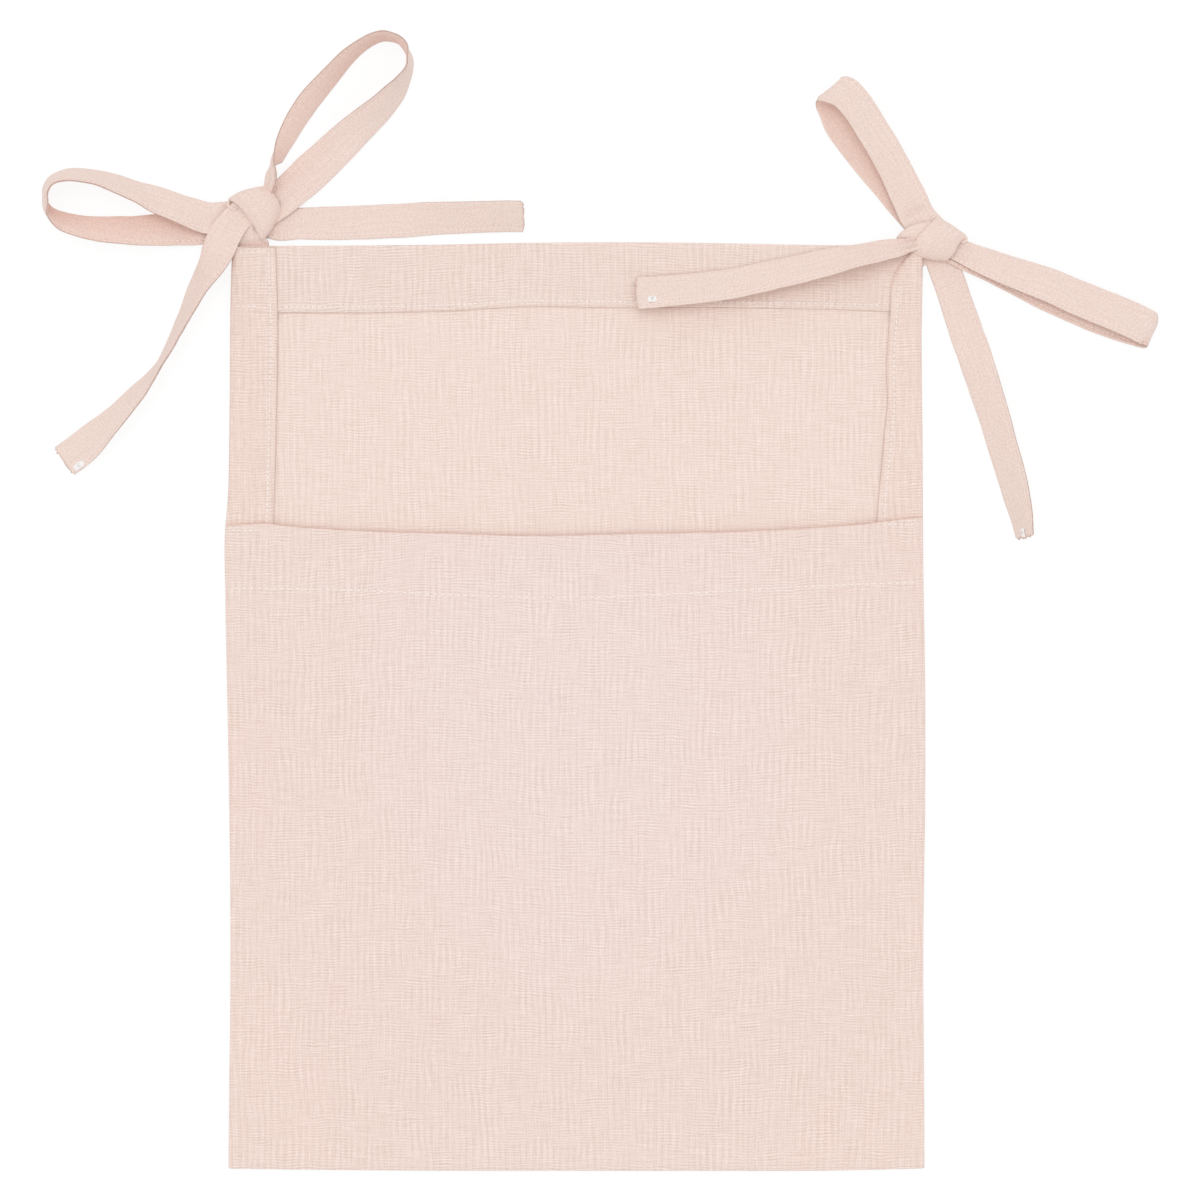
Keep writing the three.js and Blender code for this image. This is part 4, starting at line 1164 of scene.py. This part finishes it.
def roll(name, knot, path, radius, level):
    """A short rolled lip of strap at the corner of a band."""
    vertices, weave = [], []
    points = [np.array(p, float) for p in path]
    for t in np.arange(LIP_STATIONS) / (LIP_STATIONS - 1):
        ahead = curve_step(points, t, 0.01)
        side = unit(np.array([-ahead[1], ahead[0]]))
        size = radius * (0.25 + 0.75 * math.sqrt(1 - (2 * t - 1) ** 4))
        for k in range(LIP_SIDES):
            angle = 2 * math.pi * k / LIP_SIDES
            plan = np.array(knot) + curve_point(points, t) + side * size * math.cos(angle)
            vertices.append((*plan, level + size * math.sin(angle)))
            weave.append((k * 0.5, 12 * t, 0))
    faces = flipped(tube_faces(0, LIP_STATIONS, LIP_SIDES))
    return on_panel(add_lump(name, vertices, faces, weave), "tie_cloth")


def knot_core(name, replaced, knot, place, heading, length, width, height, seed):
    """The strap that is bunched up inside the knot."""
    run = in_plan(heading)
    side = np.array([-run[1], run[0]])
    a = np.linspace(-1, 1, CORE_COLUMNS)
    size = (1 - np.abs(a) ** 3.2) ** 0.5
    centre = np.array([*(np.array(knot) + place), height / 2])
    rows = []
    for angle in 2 * math.pi * np.arange(CORE_RINGS) / CORE_RINGS:
        reach = math.cos(angle) * size * length / 2
        plan = centre[:2] + reach[:, None] * run + (a * width / 2)[:, None] * side
        rows.append(np.column_stack([plan, height / 2 + math.sin(angle) * size * height / 2]))
    points = np.array(rows)
    pleats = 0.35 * np.sin(points[..., 2] * 2.6 + 2 * ripple(points[..., 0], points[..., 1], 5, seed))
    points = points + unit(points - centre) * (pleats * (1 - np.abs(a)[None, :] ** 4))[..., None]
    vertices = points.reshape(-1, 3)
    faces = []
    for i in range(CORE_RINGS):
        one, other = i * CORE_COLUMNS, (i + 1) % CORE_RINGS * CORE_COLUMNS
        faces.extend((one + k, one + k + 1, other + k + 1, other + k) for k in range(CORE_COLUMNS - 1))
    middle_face = vertices[list(faces[CORE_RINGS // 4 * (CORE_COLUMNS - 1) + CORE_COLUMNS // 2])]
    normal = np.cross(middle_face[1] - middle_face[0], middle_face[2] - middle_face[0])
    if np.dot(normal, middle_face[0] - centre) < 0:
        faces = flipped(faces)
    x, y, z = vertices.T
    piece = add_lump(name, vertices, faces, np.column_stack([x * 1.1, z * 2 + y, 0 * x]))
    on_panel(piece, "tie_cloth", replaced)


# Stitches on the panel and the pocket
def lay_row(thread, row, level, rise, facing=1.0, **looks):
    """Stitches along a row that lie at a rise over a surface's level, and face up or down."""
    run = run_along(row)
    row = at_run(np.linspace(0, run[-1], int(run[-1] / STATION) + 2), run, row)
    points = np.column_stack([row, level(row[:, 0], row[:, 1]) + rise])
    thread.row(points, np.tile([0.0, 0.0, facing], (len(row), 1)), **looks)


def panel_stitches():
    """Rows on the hem and the strips, and the same rows as they show on the back."""
    thread = Stitching()
    on_strip = STRIP_CLOTH * 0.33
    on_left, on_right = partial(strip_surface, -1), partial(strip_surface, 1)
    lay_row(thread, hem_row, root_lift, HEM_LEVEL + CLOTH / 2 + 0.16)
    for row, level in ((left_row, on_left), (right_row, on_right), (left_hem_row, on_left)):
        lay_row(thread, row, level, on_strip)
    lay_row(thread, left_top_tack, on_left, on_strip, fill=0.5, radius=0.14)
    for row in BACK_ROWS:
        lay_row(thread, row, root_lift, 0.06, facing=-1.0)
    return on_panel(thread.finish("panel_stitches", blush_thread), "panel_cloth")


def pocket_stitches(name, side, tack_row):
    thread = Stitching()
    rise = CLOTH / 2 + 0.02
    row = line_points(mouth_stitches, side * MOUTH_ROW_END, 0)
    lay_row(thread, row[::-side], front_level, rise, pitch=MOUTH_PITCH, fill=0.55, radius=0.25)
    lay_row(thread, tack_row, front_level, rise, radius=0.24)
    piece = thread.finish(name, blush_thread)
    blend_pocket(piece)
    return piece


def make_panel():
    cloth = back_cloth()
    left = side_strip("left_strip", -1, (left_row, left_top_tack, left_hem_row), "left_side_hem")
    right = side_strip("right_strip", 1, (right_row,), "right_side_hem")
    thread = panel_stitches()


def make_pocket():
    for word, side, tack_row in (("left", -1, left_tack), ("right", 1, right_tack)):
        half = pocket_half(f"pocket_cloth_{word}", side, tack_row)
        thread = pocket_stitches(f"pocket_stitches_{word}", side, tack_row)
    low = PANEL_BOTTOM + ALLOWANCE_INSET
    high = low + ALLOWANCE_DEPTH
    right = PANEL_SIDE - ALLOWANCE_INSET
    inner = right - ALLOWANCE_DEPTH
    allowance("left_seam_allowance", (-right, high + 0.5), (-inner, ALLOWANCE_TOP), 61)
    allowance("right_seam_allowance", (inner, high + 0.5), (right, ALLOWANCE_TOP), 71)
    allowance("bottom_seam_allowance", (-right, low), (right, high), 81)


def make_ties():
    for name, seed in zip(STRAPS, STRAP_SEEDS):
        strap(name, seed)
    left_lip = roll("left_band_lip", LEFT_KNOT, LEFT_LIP, 0.75, 4.4)
    wrap("left_band_cloth", "left_knot_band", LEFT_KNOT, LEFT_BAND, (218, -38), 3.4, (5.4, 4.4), 4.4,
         (1.4, 1.5), 220)
    right_lip = roll("right_band_lip", RIGHT_KNOT, RIGHT_LIP, 0.7, 4.9)
    wrap("right_band_cloth", "right_knot_band", RIGHT_KNOT, RIGHT_BAND, (215, -35), 3.4, (6.4, 4.8), 3.6,
         (0.5, 0.9), 230)
    wrap("right_under_band_cloth", "right_knot_under_band", RIGHT_KNOT, RIGHT_UNDER_BAND, (180, 30), 3.0,
         (4.9, 4.9), 1.2, (0, 0), 240, width=UNDER_BAND_WIDTH)
    knot_core("left_bundle_cloth", "left_knot_bundle", LEFT_KNOT, (2, 1.3), -54.6, 15.5, 13, 7.6, 250)
    knot_core("right_bundle_cloth", "right_knot_bundle", RIGHT_KNOT, (0.6, -0.9), -127, 15, 13, 7.6, 260)


# Stage
FLOOR_HALF = 3000
FLOOR_DROP = 0.35
SKY = 0.85
SUN_SHARE = 0.15
SUN_TILT = 15
SUN_HEADING = -15
SUN_SIZE = 35
CLIP_END = 20


def make_floor():
    level = cad_box[0][2] / MM - FLOOR_DROP
    corners = [(x * FLOOR_HALF, y * FLOOR_HALF, level) for x, y in ((-1, -1), (1, -1), (1, 1), (-1, 1))]
    material = bpy.data.materials.new("white_table")
    tree = empty_tree(material)
    rays = add_node(tree, "ShaderNodeLightPath").all_outputs()
    seen = rays["Is Camera Ray"].calc("MAXIMUM", rays["Is Glossy Ray"])
    seen = seen.calc("MAXIMUM", rays["Is Transmission Ray"])
    grain = noise_at(add_node(tree, "ShaderNodeTexCoord", output="Object"), 40)
    plain = add_node(tree, "ShaderNodeBsdfDiffuse", {"Color": mixed(tree, grain, grey(0.88), grey(0.92))})
    shadowed = add_node(tree, "ShaderNodeBsdfDiffuse", {"Color": grey(0.16)})
    glow = add_node(tree, "ShaderNodeEmission", {"Color": grey(1), "Strength": 0.86})
    white = add_node(tree, "ShaderNodeAddShader", {0: shadowed, 1: glow})
    end_tree(add_node(tree, "ShaderNodeMixShader", {0: seen, 1: plain, 2: white}))
    link_mesh("floor", corners, [(0, 1, 2, 3)], material)


def make_light():
    world = bpy.data.worlds.new("studio")
    bpy.context.scene.world = world
    tree = empty_tree(world)
    seen = add_node(tree, "ShaderNodeLightPath", output="Is Camera Ray")
    sky = add_node(tree, "ShaderNodeBackground", {"Color": grey(1), "Strength": SKY})
    backdrop = add_node(tree, "ShaderNodeBackground", {"Color": grey(1), "Strength": 1.0})
    both = add_node(tree, "ShaderNodeMixShader", {0: seen, 1: sky, 2: backdrop})
    end_tree(both, kind="ShaderNodeOutputWorld")
    tilt, heading = math.radians(SUN_TILT), math.radians(SUN_HEADING)
    sun = bpy.data.lights.new("window", "SUN")
    sun.energy = SUN_SHARE * math.pi / math.cos(tilt)
    sun.angle = math.radians(SUN_SIZE)
    toward = Vector((math.sin(tilt) * math.sin(heading), math.sin(tilt) * math.cos(heading), math.cos(tilt)))
    link_object("window", sun).rotation_euler = toward.to_track_quat("Z", "Y").to_euler()


def make_camera():
    camera_data = bpy.data.cameras.new("camera")
    camera_data.lens = LENS
    camera_data.sensor_width = SENSOR
    camera_data.clip_end = CLIP_END
    camera = link_object("camera", camera_data)
    distance = VIEW_WIDTH * LENS / SENSOR
    camera.location = (VIEW_CENTRE[0] * MM, VIEW_CENTRE[1] * MM, (LOOK_HEIGHT + distance) * MM)
    bpy.context.scene.camera = camera


make_camera()
make_light()
make_floor()
make_panel()
make_pocket()
make_ties()
bpy.context.scene.view_settings.view_transform = "Standard"
